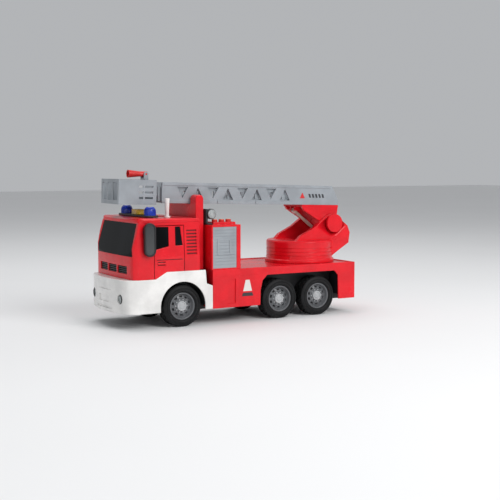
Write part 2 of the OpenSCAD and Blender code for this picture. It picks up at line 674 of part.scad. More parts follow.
module rim_1_right() rim(0, 1);
module rim_2_left() rim(1, 0);
module rim_2_right() rim(1, 1);
module rim_3_left() rim(2, 0);
module rim_3_right() rim(2, 1);

// ---------- turntable ----------

cheek_y = cheek_gap/2;
turn_z = deck_z - 1 + run_gap;               // underside of the turntable, over the sunken deck
cheek_outline = [[turn_x + 36, turn_z + 5], [turn_x + 28, drum_z - 4], [turn_x + 17, drum_z + 6],
    [turn_x - 4, drum_z + 16], [pivot_x + 9, pivot_z + 10], [pivot_x + 3, pivot_z + 12.5],
    [pivot_x - 5, pivot_z + 10.5], [pivot_x - 24, pivot_z - 4], [pivot_x - 28, pivot_z - 14],
    [pivot_x - 26, pivot_z - 28], [pivot_x - 8, turn_z + 14], [pivot_x + 6, turn_z + 5]];
module turntable() color([0.84, 0.06, 0.08]) difference() {
    union() {
        translate([turn_x, 0, turn_z]) rotate_extrude($fn=96) difference() {
            polygon([[0, 0], [drum_r + 2, 0], [drum_r + 2, 3.5], [drum_r, 5], [drum_r, drum_h - 2],
                [drum_r - 1.5, drum_h], [0, drum_h]]);
            translate([0, -1]) square([drum_r - 3, drum_h - 2]);
            for (z = [9, 14, 19]) translate([drum_r - 0.8, z]) square([2, 1.2]);
        }
        // Spigot that turns in the deck's hole, with its snap collar below
        translate([turn_x, 0, deck_z - 8]) cylinder(r=12, h=turn_z + drum_h - deck_z + 8);
        translate([turn_x, 0, deck_z - 5.5]) cylinder(r1=13.6, r2=14, h=2.2);
        both_sides() side_plate(cheek_y, cheek_y + cheek_t) polygon(cheek_outline);
        // Floor plate between the cheeks behind the drum
        block([pivot_x - 24, -cheek_y - 0.1, turn_z + 21], [pivot_x - 10, cheek_y + 0.1, turn_z + 24]);
        block([pivot_x - 26, -cheek_y - 0.1, turn_z + 24], [pivot_x - 23, cheek_y + 0.1, pivot_z - 6]);
    }
    rod_y(pin_r + axle_gap, pivot_x, pivot_z, -far, far);
    // Well for the strut's foot and the cradle
    block([pivot_x - 22, -cheek_y, turn_z + 24], [turn_x + 6, cheek_y, far]);
    rod_y(2 + axle_gap, strut_foot_at[0], strut_foot_at[1], -far, far);
}
strut_foot_at = [pivot_x + strut_foot[0]*cos(ladder_pitch) - strut_foot[1]*sin(ladder_pitch),
                 pivot_z + strut_foot[0]*sin(ladder_pitch) + strut_foot[1]*cos(ladder_pitch)];

// ---------- ladder ----------

// Triangular windows in the side frames, pointing up and down in turn
window_pitch = 22;
module ladder_windows() {
    for (i = [0:floor((ladder_front - web_start - 20)/window_pitch)]) {
        x = web_start + 4 + i*window_pitch;
        flip = i % 2;
        polygon([[x, cradle_h + (flip ? ladder_h - 5 : 5.5)], [x + 16, cradle_h + (flip ? ladder_h - 5 : 5.5)],
                 [x + 8, cradle_h + (flip ? 7 : ladder_h - 6)]]);
    }
}

module ladder_base_section() color([0.62, 0.63, 0.64]) on_ladder() {
    both_sides() side_plate(ladder_half - frame_t, ladder_half) difference() {
        polygon([[ladder_rear, cradle_h], [ladder_front, cradle_h],
            [ladder_front, cradle_h + ladder_h], [ladder_rear + 11, cradle_h + ladder_h],
            [ladder_rear, cradle_h + 6]]);
        ladder_windows();
    }
    // Flanges on the lower edge, outside rail and rungs
    both_sides() block([web_start, ladder_half - 0.1, cradle_h], [ladder_front, ladder_half + 0.8, cradle_h + 4]);
    both_sides() block([ladder_rear + 14, ladder_half - 0.1, cradle_h + ladder_h - 3.5],
                       [ladder_front, ladder_half + 0.8, cradle_h + ladder_h]);
    for (x = [web_start + 6:rung_pitch:ladder_front - 3])
        block([x, -ladder_half + frame_t - 0.1, cradle_h], [x + 3.5, ladder_half - frame_t + 0.1, cradle_h + 2]);
    block([ladder_rear + 2, -ladder_half + frame_t - 0.1, cradle_h],
          [web_start, ladder_half - frame_t + 0.1, cradle_h + 2]);
}

// Inner section, running on the outer section's floor between its side frames
fly_z = cradle_h + 2 + run_gap;
fly_h = ladder_h - 8;
module ladder_fly_section() color([0.66, 0.67, 0.68]) on_ladder() {
    both_sides() side_plate(fly_half - 2, fly_half) difference() {
        polygon([[fly_front - fly_l, fly_z], [fly_front, fly_z], [fly_front, fly_z + fly_h],
            [fly_front - fly_l + 6, fly_z + fly_h], [fly_front - fly_l, fly_z + fly_h - 6]]);
        for (x = [fly_front - fly_l + 8:14:fly_front - 18])
            translate([x, fly_z + 4.5]) square([9, fly_h - 9]);
    }
    for (x = [fly_front - fly_l + 5:rung_pitch:fly_front - 6])
        rod_y(1.5, x, fly_z + 3, -fly_half + 1, fly_half - 1);
    // Head block that carries the basket, with the pull handle on top
    block([fly_front - 4, -fly_half, fly_z + 1], [fly_front, fly_half, fly_z + 6]);
    for (y = [-12, 9]) difference() {
        union() {
            block([fly_front - 1, y, fly_z + 1], [hinge_u, y + 3, fly_z + 6]);
            rod_y(2.5, hinge_u, hinge_w, y, y + 3);
        }
        rod_y(1.3 + axle_gap, hinge_u, hinge_w, y - 1, y + 4);
    }
}
hinge_u = ladder_front + 6.4;
hinge_w = fly_z + 3.5;

module ladder_cradle() color([0.8, 0.06, 0.08]) on_ladder() difference() {
    union() {
        // Tray under the ladder and its two ears down to the pivot
        block([ladder_rear, -cradle_half, cradle_h - 3], [48, cradle_half, cradle_h - fit]);
        both_sides() side_plate(cradle_half - 4, cradle_half) {
            polygon([[ladder_rear, cradle_h - 2], [48, cradle_h - 2], [44, cradle_h - 8], [7, -4], [-6, -5],
                     [-9, 2]]);
            circle(8);
        }
        // Clevis that the strut's head stands in
        both_sides() side_plate(3.6, 6.4) polygon([[strut_head[0] - 12, cradle_h - 2],
            [strut_head[0] - 2, cradle_h - 2], [strut_head[0] - 1, cradle_h - 9], [strut_head[0] - 8, cradle_h - 9]]);
    }
    rod_y(pin_r + fit, 0, 0, -far, far);
}

module pivot_pin() color([0.55, 0.05, 0.06]) on_ladder() {
    both_sides() rod_y(pin_r, 0, 0, cradle_half - 4.5, cheek_y + cheek_t + 1);
    both_sides() rod_y(7, 0, 0, cheek_y + cheek_t + run_gap, cheek_y + cheek_t + 2);
}

// ---------- strut ----------

rod_out = 24;                                // where the bare rod leaves the cylinder
rod_r = 2.2;
module strut_cylinder() color([0.8, 0.06, 0.08]) {
    on_strut() difference() {
        rod_x(4.2, 0, 0, 4, rod_out);
        rod_x(rod_r + axle_gap, 0, 0, 6, far);
    }
    on_strut() block([-4, -7, -4], [4, 7, 4]);
    on_strut() rod_y(2, 0, 0, -cheek_y - cheek_t, cheek_y + cheek_t);
}
module strut_rod() color([0.72, 0.72, 0.7]) on_strut() {
    rod_x(rod_r, 0, 0, 7, strut_l - 7);
    block([strut_l - 9, -3, -2.6], [strut_l - 3, 3, 2.6]);
}

// ---------- basket and monitor ----------

module basket() color([0.64, 0.65, 0.66]) on_ladder() translate([basket_x, 0, basket_w0]) {
    half = basket_w/2;
    // Floor
    block([0, -half, 0], [basket_l, half, basket_t]);
    // Sides with three pairs of slots near the rear
    both_sides() side_plate(half - basket_t, half) difference() {
        round_rect([0, 0], [basket_l, basket_h], 1.5);
        for (z = [7, 14, 21]) {
            translate([4.5, z]) square([11, 2.6]);
            translate([18, z]) square([5.5, 2.6]);
        }
    }
    // Front: two rails, corner plates and bars
    cross_plate(basket_l - basket_t, basket_l) difference() {
        translate([-half, 0]) square([basket_w, basket_h]);
        for (y = [-half + 5:(basket_w - 7)/3:half - 10])
            translate([y, 5]) square([(basket_w - 7)/3 - 3, basket_h - 9]);
    }
    // Rear: sill, and a top rail with a boss for the water monitor
    block([0, -half + 0.1, 0], [basket_t, half - 0.1, 11]);
    difference() {
        union() {
            block([0, -half + 0.1, basket_h - 4], [3.5, half - 0.1, basket_h]);
            block([0, -7, basket_h - 4], [8.5, 7, basket_h]);
        }
        translate([monitor_in, 0, basket_h - 5]) cylinder(r=1.6 + axle_gap, h=10);
    }
    // Hinge knuckle between the head block's lugs, with its pin
    rod_y(2.5, hinge_u - basket_x, hinge_w - basket_w0, -8.7, 8.7);
    block([hinge_u - basket_x, -8.7, hinge_w - basket_w0 - 2], [1, 8.7, hinge_w - basket_w0 + 2]);
    rod_y(1.3, hinge_u - basket_x, hinge_w - basket_w0, -12, 12);
}

monitor_z = basket_w0 + basket_h;
monitor_up = 7;                              // the nozzle's axis above the basket's rail
module monitor_base() color([0.78, 0.78, 0.77]) on_ladder() translate([monitor_u, 0, monitor_z + fit]) {
    cylinder(r=5, h=2);
    translate([0, 0, -4]) cylinder(r=1.6, h=5);
    for (y = [-5.5, 4]) difference() {
        union() {
            block([-3, y, 1], [3, y + 1.5, monitor_up]);
            rod_y(3, 0, monitor_up, y, y + 1.5);
        }
        rod_y(1.2 + axle_gap, 0, monitor_up, y - 1, y + 2.5);
    }
}
module monitor_nozzle() color([0.85, 0.12, 0.18]) on_ladder() translate([monitor_u, 0, monitor_z + fit + monitor_up]) {
    rod_x(3.4, 0, 0, -3.2, 8);
    translate([8, 0, 0]) rotate([0, 90, 0]) cylinder(r1=3.4, r2=5, h=15);
    rod_y(1.2, 0, 0, -5.5, 5.5);
}

// ---------- the assembly ----------

chassis();
front_bumper();
cab_shell();
window_insert();
front_grille();
headlights();
mirror_left();
mirror_right();
light_bar_base();
amber_lens();
blue_lens_left();
blue_lens_right();
roof_horn();
ladder_rest();
rear_body();
arch_liners();
tail_lamps();
equipment_tower();
shutter_left();
shutter_right();
search_lamp_bracket();
search_lamp_lens();
button_1();
button_2();
button_3();
sound_board();
speaker();
batteries();
battery_cover();
body_screws();
power_switch();
gearbox_frame();
front_axle();
rear_axle_front();
rear_axle_back();
axle_gear();
gear_cluster();
flywheel();
tyre_1_left();
tyre_1_right();
tyre_2_left();
tyre_2_right();
tyre_3_left();
tyre_3_right();
rim_1_left();
rim_1_right();
rim_2_left();
rim_2_right();
rim_3_left();
rim_3_right();
turntable();
ladder_base_section();
ladder_cradle();
pivot_pin();
ladder_fly_section();
strut_cylinder();
strut_rod();
basket();
monitor_base();
monitor_nozzle();
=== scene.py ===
# %% [markdown]
# # A toy fire engine with a turning, telescopic ladder
# The mechanical model of the toy comes first: its body shells, ladder, wheels and gears are exact
# solids, each riding on the body that moves it. This lesson gives them their looks. Every visible
# moulding is copied, its edges are rounded as a mould would round them, grooves are cut, and small trim
# is added. The wheels, the beacons and the lamps are modelled anew in the place of their plain parts.

# %% Load the mechanical model
import json
from math import cos, pi, radians, sin

import bpy
from mathutils import Matrix, Vector

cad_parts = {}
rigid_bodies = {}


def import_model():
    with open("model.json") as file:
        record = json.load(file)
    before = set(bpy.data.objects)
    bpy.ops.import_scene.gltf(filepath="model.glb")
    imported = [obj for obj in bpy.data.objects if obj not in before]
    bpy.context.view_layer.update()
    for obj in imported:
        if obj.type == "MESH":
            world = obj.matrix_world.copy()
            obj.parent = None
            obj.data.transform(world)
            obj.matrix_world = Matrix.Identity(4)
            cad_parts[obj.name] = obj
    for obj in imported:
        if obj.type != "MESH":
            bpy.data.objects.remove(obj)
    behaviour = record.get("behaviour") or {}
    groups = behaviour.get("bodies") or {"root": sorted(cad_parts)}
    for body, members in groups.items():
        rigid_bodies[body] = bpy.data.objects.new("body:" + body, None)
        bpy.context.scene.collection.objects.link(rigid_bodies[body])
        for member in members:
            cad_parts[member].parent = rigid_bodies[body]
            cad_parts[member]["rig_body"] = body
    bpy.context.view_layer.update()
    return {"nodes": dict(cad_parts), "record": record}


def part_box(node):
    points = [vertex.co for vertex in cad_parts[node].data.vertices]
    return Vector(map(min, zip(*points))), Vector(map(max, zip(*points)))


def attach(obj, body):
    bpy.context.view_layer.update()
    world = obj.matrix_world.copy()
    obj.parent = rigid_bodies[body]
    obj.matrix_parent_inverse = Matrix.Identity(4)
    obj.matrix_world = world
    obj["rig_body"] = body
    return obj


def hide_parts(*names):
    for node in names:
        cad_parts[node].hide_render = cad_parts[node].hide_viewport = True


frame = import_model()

MM = 0.001
FORWARD = Vector((1, 0, 0))             # the front bumper's way
LEFT = Vector((0, 1, 0))                # the toy's own left side
UP = Vector((0, 0, 1))
parts = frame["nodes"]
slot_of = {row["node"]: row["material_slot"] for row in frame["record"]["subparts"]}

# %% [markdown]
# ## Working by hand, in code
# Blender's operators act on whatever is selected, so each helper first makes one piece the only selected
# one. Faces are chosen by a test on their middle and their normal, which says in words what a hand would
# click. A finished piece keeps its place in its mesh, so its object stays at the origin. Everything is
# measured in millimetres, and MM turns a millimetre into Blender's metres.

# %% Helpers that select and shape
def only(piece):
    """Make one piece the selected and the active one."""
    bpy.ops.object.select_all(action="DESELECT")
    piece.select_set(True)
    bpy.context.view_layer.objects.active = piece
    return piece


def pick(piece, test):
    """Open a piece in edit mode with the faces that pass a test of their middle and normal selected."""
    only(piece)
    bpy.ops.object.mode_set(mode="EDIT")
    bpy.ops.mesh.select_mode(type="FACE")
    bpy.ops.mesh.select_all(action="DESELECT")
    bpy.ops.object.mode_set(mode="OBJECT")
    chosen = 0
    for face in piece.data.polygons:
        face.select = test(face.center, face.normal)
        chosen += face.select
    bpy.ops.object.mode_set(mode="EDIT")
    return chosen


def facing(way):
    """A test for the faces that look one way."""
    return lambda middle, normal: normal.dot(way) > 0.9


def facing_along(way):
    """A test for the faces that look one way or the opposite way."""
    return lambda middle, normal: abs(normal.dot(way)) > 0.9


def close(piece):
    """Leave edit mode."""
    bpy.ops.object.mode_set(mode="OBJECT")
    return piece


def ring_steps(steps):
    """Inset the selected faces again and again: how far in, and how far out along their normal."""
    for inwards, outwards in steps:
        bpy.ops.mesh.inset(thickness=inwards * MM, depth=outwards * MM)


def turn_rings(piece, test, steps):
    """Cut stepped rings into the faces that pass a test, as a lathe would."""
    pick(piece, test)
    ring_steps(steps)
    return close(piece)


def taper(piece, share):
    """Make the top of a piece narrower along X, to a share of its length."""
    pick(piece, facing(UP))
    bpy.ops.transform.resize(value=(share, 1, 1))
    return close(piece)


def settle(name):
    """Name the new primitive and put its place, turn and size into its mesh."""
    piece = bpy.context.object
    piece.name = name
    only(piece)
    bpy.ops.object.transform_apply(location=True, rotation=True, scale=True)
    return piece


def box(name, low, high):
    """A box between two corners, in millimetres."""
    low, high = Vector(low) * MM, Vector(high) * MM
    bpy.ops.mesh.primitive_cube_add(size=1, location=(low + high) / 2)
    bpy.context.object.scale = high - low
    return settle(name)


def bar(name, radius, start, end, sides=48):
    """A round bar between two points, in millimetres."""
    start, end = Vector(start) * MM, Vector(end) * MM
    turn = (end - start).to_track_quat("Z", "X").to_euler()
    bpy.ops.mesh.primitive_cylinder_add(
        vertices=sides, radius=radius * MM, depth=(end - start).length,
        location=(start + end) / 2, rotation=turn)
    return settle(name)


def modify(piece, kind, **settings):
    """Add a modifier with its settings and apply it."""
    only(piece)
    modifier = piece.modifiers.new(kind.lower(), kind)
    for key, value in settings.items():
        setattr(modifier, key, value)
    bpy.ops.object.modifier_apply(modifier=modifier.name)
    return piece


def shade_below(piece, angle):
    """Shade smoothly across every edge that turns by less than an angle, in degrees."""
    only(piece)
    bpy.ops.object.shade_smooth_by_angle(angle=radians(angle))
    return piece


ROUNDED = 38                            # edges that turn by less than this look rounded, in degrees


def smooth(piece):
    """Shade smoothly across small angles, and let the big flat faces lead, so that they stay flat."""
    only(piece)
    bpy.ops.mesh.customdata_custom_splitnormals_clear()
    shade_below(piece, ROUNDED)
    return modify(piece, "WEIGHTED_NORMAL", keep_sharp=True)


def soften(piece, width=0.4, steps=2, angle=30, clamp=False, split=False):
    """Round every sharp edge, as a mould does.

    Thin strips fold over under a wide rounding: clamping stops it at the narrowest strip of the whole
    piece, and splitting into triangles first keeps the strips apart, where that leaves no spikes.
    """
    if split:
        modify(piece, "TRIANGULATE")
    modify(piece, "BEVEL", width=width * MM, segments=steps, limit_method="ANGLE",
           angle_limit=radians(angle), use_clamp_overlap=clamp)
    return smooth(piece)


def join(name, pieces):
    """Join several pieces into one object."""
    only(pieces[0])
    for piece in pieces:
        piece.select_set(True)
    bpy.ops.object.join()
    bpy.context.object.name = name
    return bpy.context.object


def carve(piece, cutters):
    """Cut shapes that don't touch each other out of a piece, in one go."""
    cutter = join("cutter", cutters)
    modify(piece, "BOOLEAN", object=cutter, operation="DIFFERENCE", solver="EXACT")
    bpy.data.objects.remove(cutter)
    return smooth(piece)


def moulding(node, levels=()):
    """An editable copy of a part: its loose triangles are merged and its flat faces made whole.

    A flat face round an opening can't be one whole face, so a part with windows is first split at levels
    that cross them, in millimetres, and each seam is kept.
    """
    mesh = parts[node].data.copy()
    piece = bpy.data.objects.new(node + "_moulding", mesh)
    bpy.context.scene.collection.objects.link(piece)
    only(piece)
    bpy.ops.object.mode_set(mode="EDIT")
    bpy.ops.mesh.select_all(action="SELECT")
    bpy.ops.mesh.remove_doubles(threshold=0.002 * MM)
    for level in levels:
        bpy.ops.mesh.select_all(action="SELECT")
        bpy.ops.mesh.bisect(plane_co=(0, 0, level * MM), plane_no=(0, 0, 1))
        bpy.ops.mesh.mark_seam(clear=False)
    bpy.ops.mesh.select_all(action="SELECT")
    bpy.ops.mesh.dissolve_limited(angle_limit=radians(0.3), delimit={"SEAM"})
    bpy.ops.mesh.customdata_custom_splitnormals_clear()
    bpy.ops.object.mode_set(mode="OBJECT")
    return piece


def corners(node):
    """A part's lowest and highest corner, in millimetres."""
    low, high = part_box(node)
    return low / MM, high / MM

# %% [markdown]
# ## Shader maths that reads as maths
# A material is a tree of nodes. Wrapping a socket in a small class lets an expression such as
# `1 - mask` add the node that works it out, so a finish reads as a recipe. Colours go through Mix nodes.

# %% The Wire and Finish classes
class Wire:
    """One output socket of a finish's node tree."""

    def __init__(self, finish, socket):
        self.finish = finish
        self.socket = socket

    def maths(self, operation, first, second):
        return self.finish.add("ShaderNodeMath", {"operation": operation}, {0: first, 1: second})

    def __add__(self, other):
        return self.maths("ADD", self, other)

    def __sub__(self, other):
        return self.maths("SUBTRACT", self, other)

    def __rsub__(self, other):
        return self.maths("SUBTRACT", other, self)

    def __mul__(self, other):
        return self.maths("MULTIPLY", self, other)

    __radd__ = __add__
    __rmul__ = __mul__

    def fade(self, low, high):
        """From 0 below low to 1 above high, smoothly."""
        settings = {"interpolation_type": "SMOOTHSTEP"}
        return self.finish.add("ShaderNodeMapRange", settings,
                               {"Value": self, "From Min": low, "From Max": high})


class Finish:
    """A material with its shader; what is the same all over the surface is set on the shader itself."""

    def __init__(self, name, **uniform):
        self.material = bpy.data.materials.new(name)
        self.material.use_nodes = True
        self.tree = self.material.node_tree
        self.shader = self.tree.nodes["Principled BSDF"]
        for socket, value in uniform.items():
            self.feed(self.shader.inputs[socket.replace("_", " ")], value)
        self.place = self.add("ShaderNodeTexCoord", output="Object")

    def feed(self, target, value):
        if isinstance(value, Wire):
            self.tree.links.new(value.socket, target)
        else:
            target.default_value = value

    def add(self, kind, settings=None, sockets=None, output=0):
        """Add any node: its settings first, then the values or links of its sockets."""
        node = self.tree.nodes.new(kind)
        for key, value in (settings or {}).items():
            setattr(node, key, value)
        for key, value in (sockets or {}).items():
            self.feed(node.inputs[key], value)
        return Wire(self, node.outputs[output])

    def noise(self, size, detail=2, stretch=(1, 1, 1)):
        """Noise whose blotches are about one size, in millimetres, stretched along the axes."""
        scale = [1 / (size * MM * share) for share in stretch]
        point = self.add("ShaderNodeMapping", None, {"Vector": self.place, "Scale": scale})
        return self.add("ShaderNodeTexNoise", None, {"Vector": point, "Scale": 1, "Detail": detail})

    def axis(self, name):
        """The place along one axis, in millimetres."""
        return self.add("ShaderNodeSeparateXYZ", None, {"Vector": self.place}, output=name) * (1 / MM)

    def blend(self, factor, low, high):
        """From one colour to another as a factor rises from 0 to 1."""
        sockets = {0: factor, 6: low, 7: high}
        return self.add("ShaderNodeMix", {"data_type": "RGBA"}, sockets, output=2)

    def raise_by(self, height, depth):
        """Bump the surface by a height from 0 to 1, times a depth in millimetres."""
        bump = self.add("ShaderNodeBump", None, {"Height": height, "Distance": depth * MM})
        self.feed(self.shader.inputs["Normal"], bump)

    def paint(self, **varying):
        for socket, value in varying.items():
            self.feed(self.shader.inputs[socket.replace("_", " ")], value)
        return self.material


def shade(colour, factor):
    """A colour made lighter or darker."""
    return tuple(min(1.0, channel * factor) for channel in colour[:3]) + (1.0,)

# %% [markdown]
# ## Moulded plastic
# Most of the toy is injection-moulded ABS. It is glossy, yet never perfect: the melt leaves faint clouds
# of colour, the polished mould leaves a very shallow waviness, and handling leaves hair-thin scratches
# that barely catch the light. One function makes all these plastics, from colour, gloss and waviness.

# %% Glossy and satin plastics
SCRATCH_HEIGHT = 0.004                  # of a scratch in the plastic, in millimetres
SCRATCH_DULLING = 0.16                  # how much rougher a scratch is than the rest


def plastic(name, colour, roughness, coat, wave=0.012, grain=0.0, gloss=0.4):
    finish = Finish(name, Specular_IOR_Level=gloss, Coat_Roughness=0.05)
    clouds = finish.noise(22, 4)
    flow = finish.noise(60, 2, stretch=(1.6, 0.5, 0.35))
    tint = finish.blend(clouds.fade(0.3, 0.72), shade(colour, 0.88), shade(colour, 1.06))
    tint = finish.blend(flow.fade(0.55, 0.8) * 0.3, tint, shade(colour, 0.8))
    hairs = finish.noise(0.55, 1, stretch=(14, 14, 0.35)).fade(0.66, 0.74)
    worn = finish.noise(13, 2).fade(0.52, 0.7)
    dust = finish.noise(0.9, 1).fade(0.62, 0.8)
    rough = roughness + clouds * 0.05 + hairs * worn * SCRATCH_DULLING + dust * 0.06
    surface = finish.noise(3.2, 2) * wave + finish.noise(0.32, 2) * grain - hairs * worn * SCRATCH_HEIGHT
    finish.raise_by(surface, 1.0)
    return finish.paint(Base_Color=tint, Roughness=rough, Coat_Weight=coat - hairs * worn * 0.3)


RED = (0.72, 0.007, 0.016)
finishes = {
    "red_abs": plastic("red_gloss_plastic", RED, roughness=0.24, coat=0.16, gloss=0.28),
    "white_abs": plastic("white_gloss_plastic", (0.8, 0.79, 0.77), roughness=0.24, coat=0.3),
    "black_abs": plastic("black_satin_plastic", (0.016, 0.016, 0.018), roughness=0.4, coat=0.0,
                         grain=0.02),
    "grey_abs": plastic("light_grey_plastic", (0.3, 0.325, 0.35), roughness=0.33, coat=0.1, grain=0.004),
    "rim_grey": plastic("rim_grey_plastic", (0.12, 0.124, 0.132), roughness=0.3, coat=0.15, wave=0.006),
    "red_button": plastic("button_red_plastic", (0.62, 0.02, 0.018), roughness=0.32, coat=0.1),
    "gear_nylon": plastic("gear_nylon", (0.7, 0.67, 0.56), roughness=0.42, coat=0.0, grain=0.006),
}
print("plastics:", ", ".join(finishes))

# %% [markdown]
# ## Glass, lenses, rubber and metal
# The windows are smoky acrylic: nearly black and smooth, so they catch the lights only faintly. The
# beacons are dyed clear plastic, which light enters a little way. Tyre vinyl is dull and finely grained.
# Steel is turned, so its marks run round the shaft; the cells wear a printed sleeve with one plain band.

# %% Clear, dull and metallic finishes
def window_plastic():
    finish = Finish("smoked_window_plastic", Specular_IOR_Level=0.07)
    smear = finish.noise(30, 3, stretch=(1, 1, 2.5)).fade(0.35, 0.8)
    tint = finish.blend(smear, (0.003, 0.0035, 0.004, 1), (0.008, 0.009, 0.011, 1))
    finish.raise_by(finish.noise(9, 1), 0.01)
    return finish.paint(Base_Color=tint, Roughness=0.12 + smear * 0.1)


def lens_plastic(name, colour, clear=0.35):
    finish = Finish(name, IOR=1.49, Transmission_Weight=clear, Coat_Weight=0.5, Coat_Roughness=0.03)
    depth = finish.noise(5, 2)
    tint = finish.blend(depth.fade(0.3, 0.7), shade(colour, 0.75), shade(colour, 1.15))
    finish.raise_by(finish.noise(1.6, 1), 0.01)
    return finish.paint(Base_Color=tint, Roughness=0.12 + depth * 0.05)


def tyre_vinyl():
    finish = Finish("tyre_vinyl", Specular_IOR_Level=0.2)
    bloom = finish.noise(14, 4).fade(0.35, 0.75)
    dust = finish.noise(1.1, 3).fade(0.5, 0.72)
    tint = finish.blend(bloom, (0.007, 0.0072, 0.0078, 1), (0.014, 0.0145, 0.0155, 1))
    tint = finish.blend(dust * 0.2, tint, (0.06, 0.059, 0.057, 1))
    finish.raise_by(finish.noise(0.35, 2) * 0.04 + finish.noise(2.5, 2) * 0.05, 1.0)
    return finish.paint(Base_Color=tint, Roughness=0.56 + bloom * 0.12 + dust * 0.1)


def turned_steel():
    finish = Finish("turned_steel", Metallic=1.0, Specular_IOR_Level=0.5)
    rings = finish.noise(0.5, 1, stretch=(30, 0.6, 30))
    tarnish = finish.noise(7, 3).fade(0.4, 0.75)
    tint = finish.blend(tarnish, (0.62, 0.62, 0.64, 1), (0.45, 0.44, 0.43, 1))
    finish.raise_by(rings, 0.01)
    return finish.paint(Base_Color=tint, Roughness=0.22 + rings * 0.12 + tarnish * 0.12)


SLEEVE_BAND = 14                        # width of the band on the cells


def cell_sleeve():
    """A printed sleeve: a dark body with one plain copper-coloured band at its front end."""
    finish = Finish("cell_sleeve", Coat_Weight=0.3, Coat_Roughness=0.08)
    band_start = corners("batteries")[1].x - SLEEVE_BAND
    band = finish.axis("X").fade(band_start, band_start + 0.4)
    wrap = finish.noise(4, 2)
    tint = finish.blend(band, (0.02, 0.022, 0.025, 1), (0.55, 0.26, 0.09, 1))
    finish.raise_by(wrap, 0.02)
    return finish.paint(Base_Color=tint, Roughness=0.3 + wrap * 0.08)


def circuit_board():
    """Green board with straight copper tracks under the lacquer."""
    finish = Finish("circuit_board", Coat_Weight=0.2, Coat_Roughness=0.1)
    tracks = finish.noise(2.2, 0, stretch=(0.5, 6, 1)).fade(0.56, 0.6)
    tint = finish.blend(tracks, (0.01, 0.11, 0.035, 1), (0.05, 0.25, 0.07, 1))
    finish.raise_by(tracks, 0.03)
    return finish.paint(Base_Color=tint, Roughness=0.35 + tracks * 0.08)


finishes["smoked_window"] = window_plastic()
finishes["blue_lens"] = lens_plastic("blue_beacon_plastic", (0.012, 0.06, 0.66))
finishes["amber_lens"] = lens_plastic("amber_lens_plastic", (0.9, 0.56, 0.02), clear=0.15)
finishes["red_lens"] = lens_plastic("red_lens_plastic", (0.5, 0.008, 0.008))
finishes["clear_lens"] = lens_plastic("clear_lens_plastic", (0.42, 0.46, 0.46), clear=0.15)
finishes["tyre"] = tyre_vinyl()
finishes["steel"] = turned_steel()
finishes["battery"] = cell_sleeve()
finishes["circuit_board"] = circuit_board()
# A much darker red for the floors of the cab's grooves: painted shade, for the shade that falls into
# them
groove_shade_red = plastic("red_painted_groove_shade", (0.17, 0.002, 0.004), roughness=0.42, coat=0.0)
mirror_face = plastic("mirror_face", (0.03, 0.034, 0.036), roughness=0.12, coat=0.5, wave=0.004)
beige_face = plastic("beige_button_face", (0.62, 0.5, 0.33), roughness=0.45, coat=0.0, grain=0.01)
hub_silver = plastic("silver_hub_plastic", (0.42, 0.43, 0.44), roughness=0.26, coat=0.3)
label_red = plastic("label_red", (0.62, 0.02, 0.02), roughness=0.35, coat=0.2)
label_dark = plastic("label_dark", (0.03, 0.03, 0.035), roughness=0.4, coat=0.2)
rod_grey = plastic("strut_pale_plastic", (0.58, 0.56, 0.48), roughness=0.3, coat=0.15)
label_pale = plastic("label_pale", (0.78, 0.76, 0.72), roughness=0.38, coat=0.2)
missing = sorted(set(slot_of.values()) - set(finishes))
print(f"{len(bpy.data.materials)} finishes; slots without one: {missing}")

# %% [markdown]
# ## Dressing a piece
# A dressed piece rides on the body of the part that it belongs to, takes that part's finish, and hides
# the plain part if it stands for it. Trim that only sits on a part hides nothing.

# %% Dress a piece
def dress(piece, name, *nodes, on=None, finish=None, slot=None):
    """Give a piece its name, body and finish, from the part it stands for or the part it is on, or from
    a named slot.
    """
    base = on or nodes[0]
    piece.name = name
    look = finish or finishes[slot or slot_of[base]]
    if piece.data.materials:
        piece.data.materials[0] = look
    else:
        piece.data.materials.append(look)
    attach(piece, parts[base]["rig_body"])
    proud = 0
    if nodes:
        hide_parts(*nodes)
        low, high = corners(nodes[0])
        for vertex in piece.data.vertices:
            place = vertex.co / MM
            proud = max(proud, *(low - place), *(place - high))
    body = parts[base]["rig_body"]
    print(f"  {name}: {len(piece.data.polygons)} faces, on {body}, {proud:.2f} mm proud")
    return piece


def dress_moulding(node, name, finish=None, **rounding):
    """Copy a part that needs nothing but rounded edges, and dress the copy."""
    return dress(soften(moulding(node), **rounding), name, node, finish=finish)


for node, part in parts.items():
    part.data.materials.clear()
    part.data.materials.append(finishes[slot_of[node]])

# %% [markdown]
# ## Landmarks
# Every place below comes from the model's own parts, so new trim always lands on its seat: the cab's
# waist line and roof, the deck, the tower, the wheel centres, and the ladder's pivot and slope.

# %% Measure the model
cab_low, cab_high = corners("cab_shell")
bumper_low, bumper_high = corners("front_bumper")
body_low, body_high = corners("rear_body")
WINDSCREEN = 48                         # from the windscreen's foot up to the roof
half = body_high.y                      # half the width over the body sides
roof = cab_high.z
waist = roof - WINDSCREEN
seam = bumper_high.z                    # white wings meet the red cab over the wheels
deck = body_high.z
pin_low, pin_high = corners("pivot_pin")
pivot = (pin_low + pin_high) / 2
LADDER_SLOPE = radians(1.7)
CAB_LEAN = 2.5 / 45                     # how fast the cab's sides lean in above the waist


def on_ladder(along, up):
    """A place in the ladder's own frame, from its pivot, as X and Z of the toy in millimetres."""
    x = pivot.x + along * cos(LADDER_SLOPE) - up * sin(LADDER_SLOPE)
    z = pivot.z + along * sin(LADDER_SLOPE) + up * cos(LADDER_SLOPE)
    return x, z


def other_side(piece):
    """A mirrored copy of a piece on the toy's other side, its faces turned outwards again."""
    only(piece)
    bpy.ops.object.duplicate()
    copy = bpy.context.object
    copy.data.transform(Matrix.Diagonal((1, -1, 1, 1)))
    bpy.ops.object.mode_set(mode="EDIT")
    bpy.ops.mesh.select_all(action="SELECT")
    bpy.ops.mesh.normals_make_consistent(inside=False)
    close(copy)
    return smooth(copy)


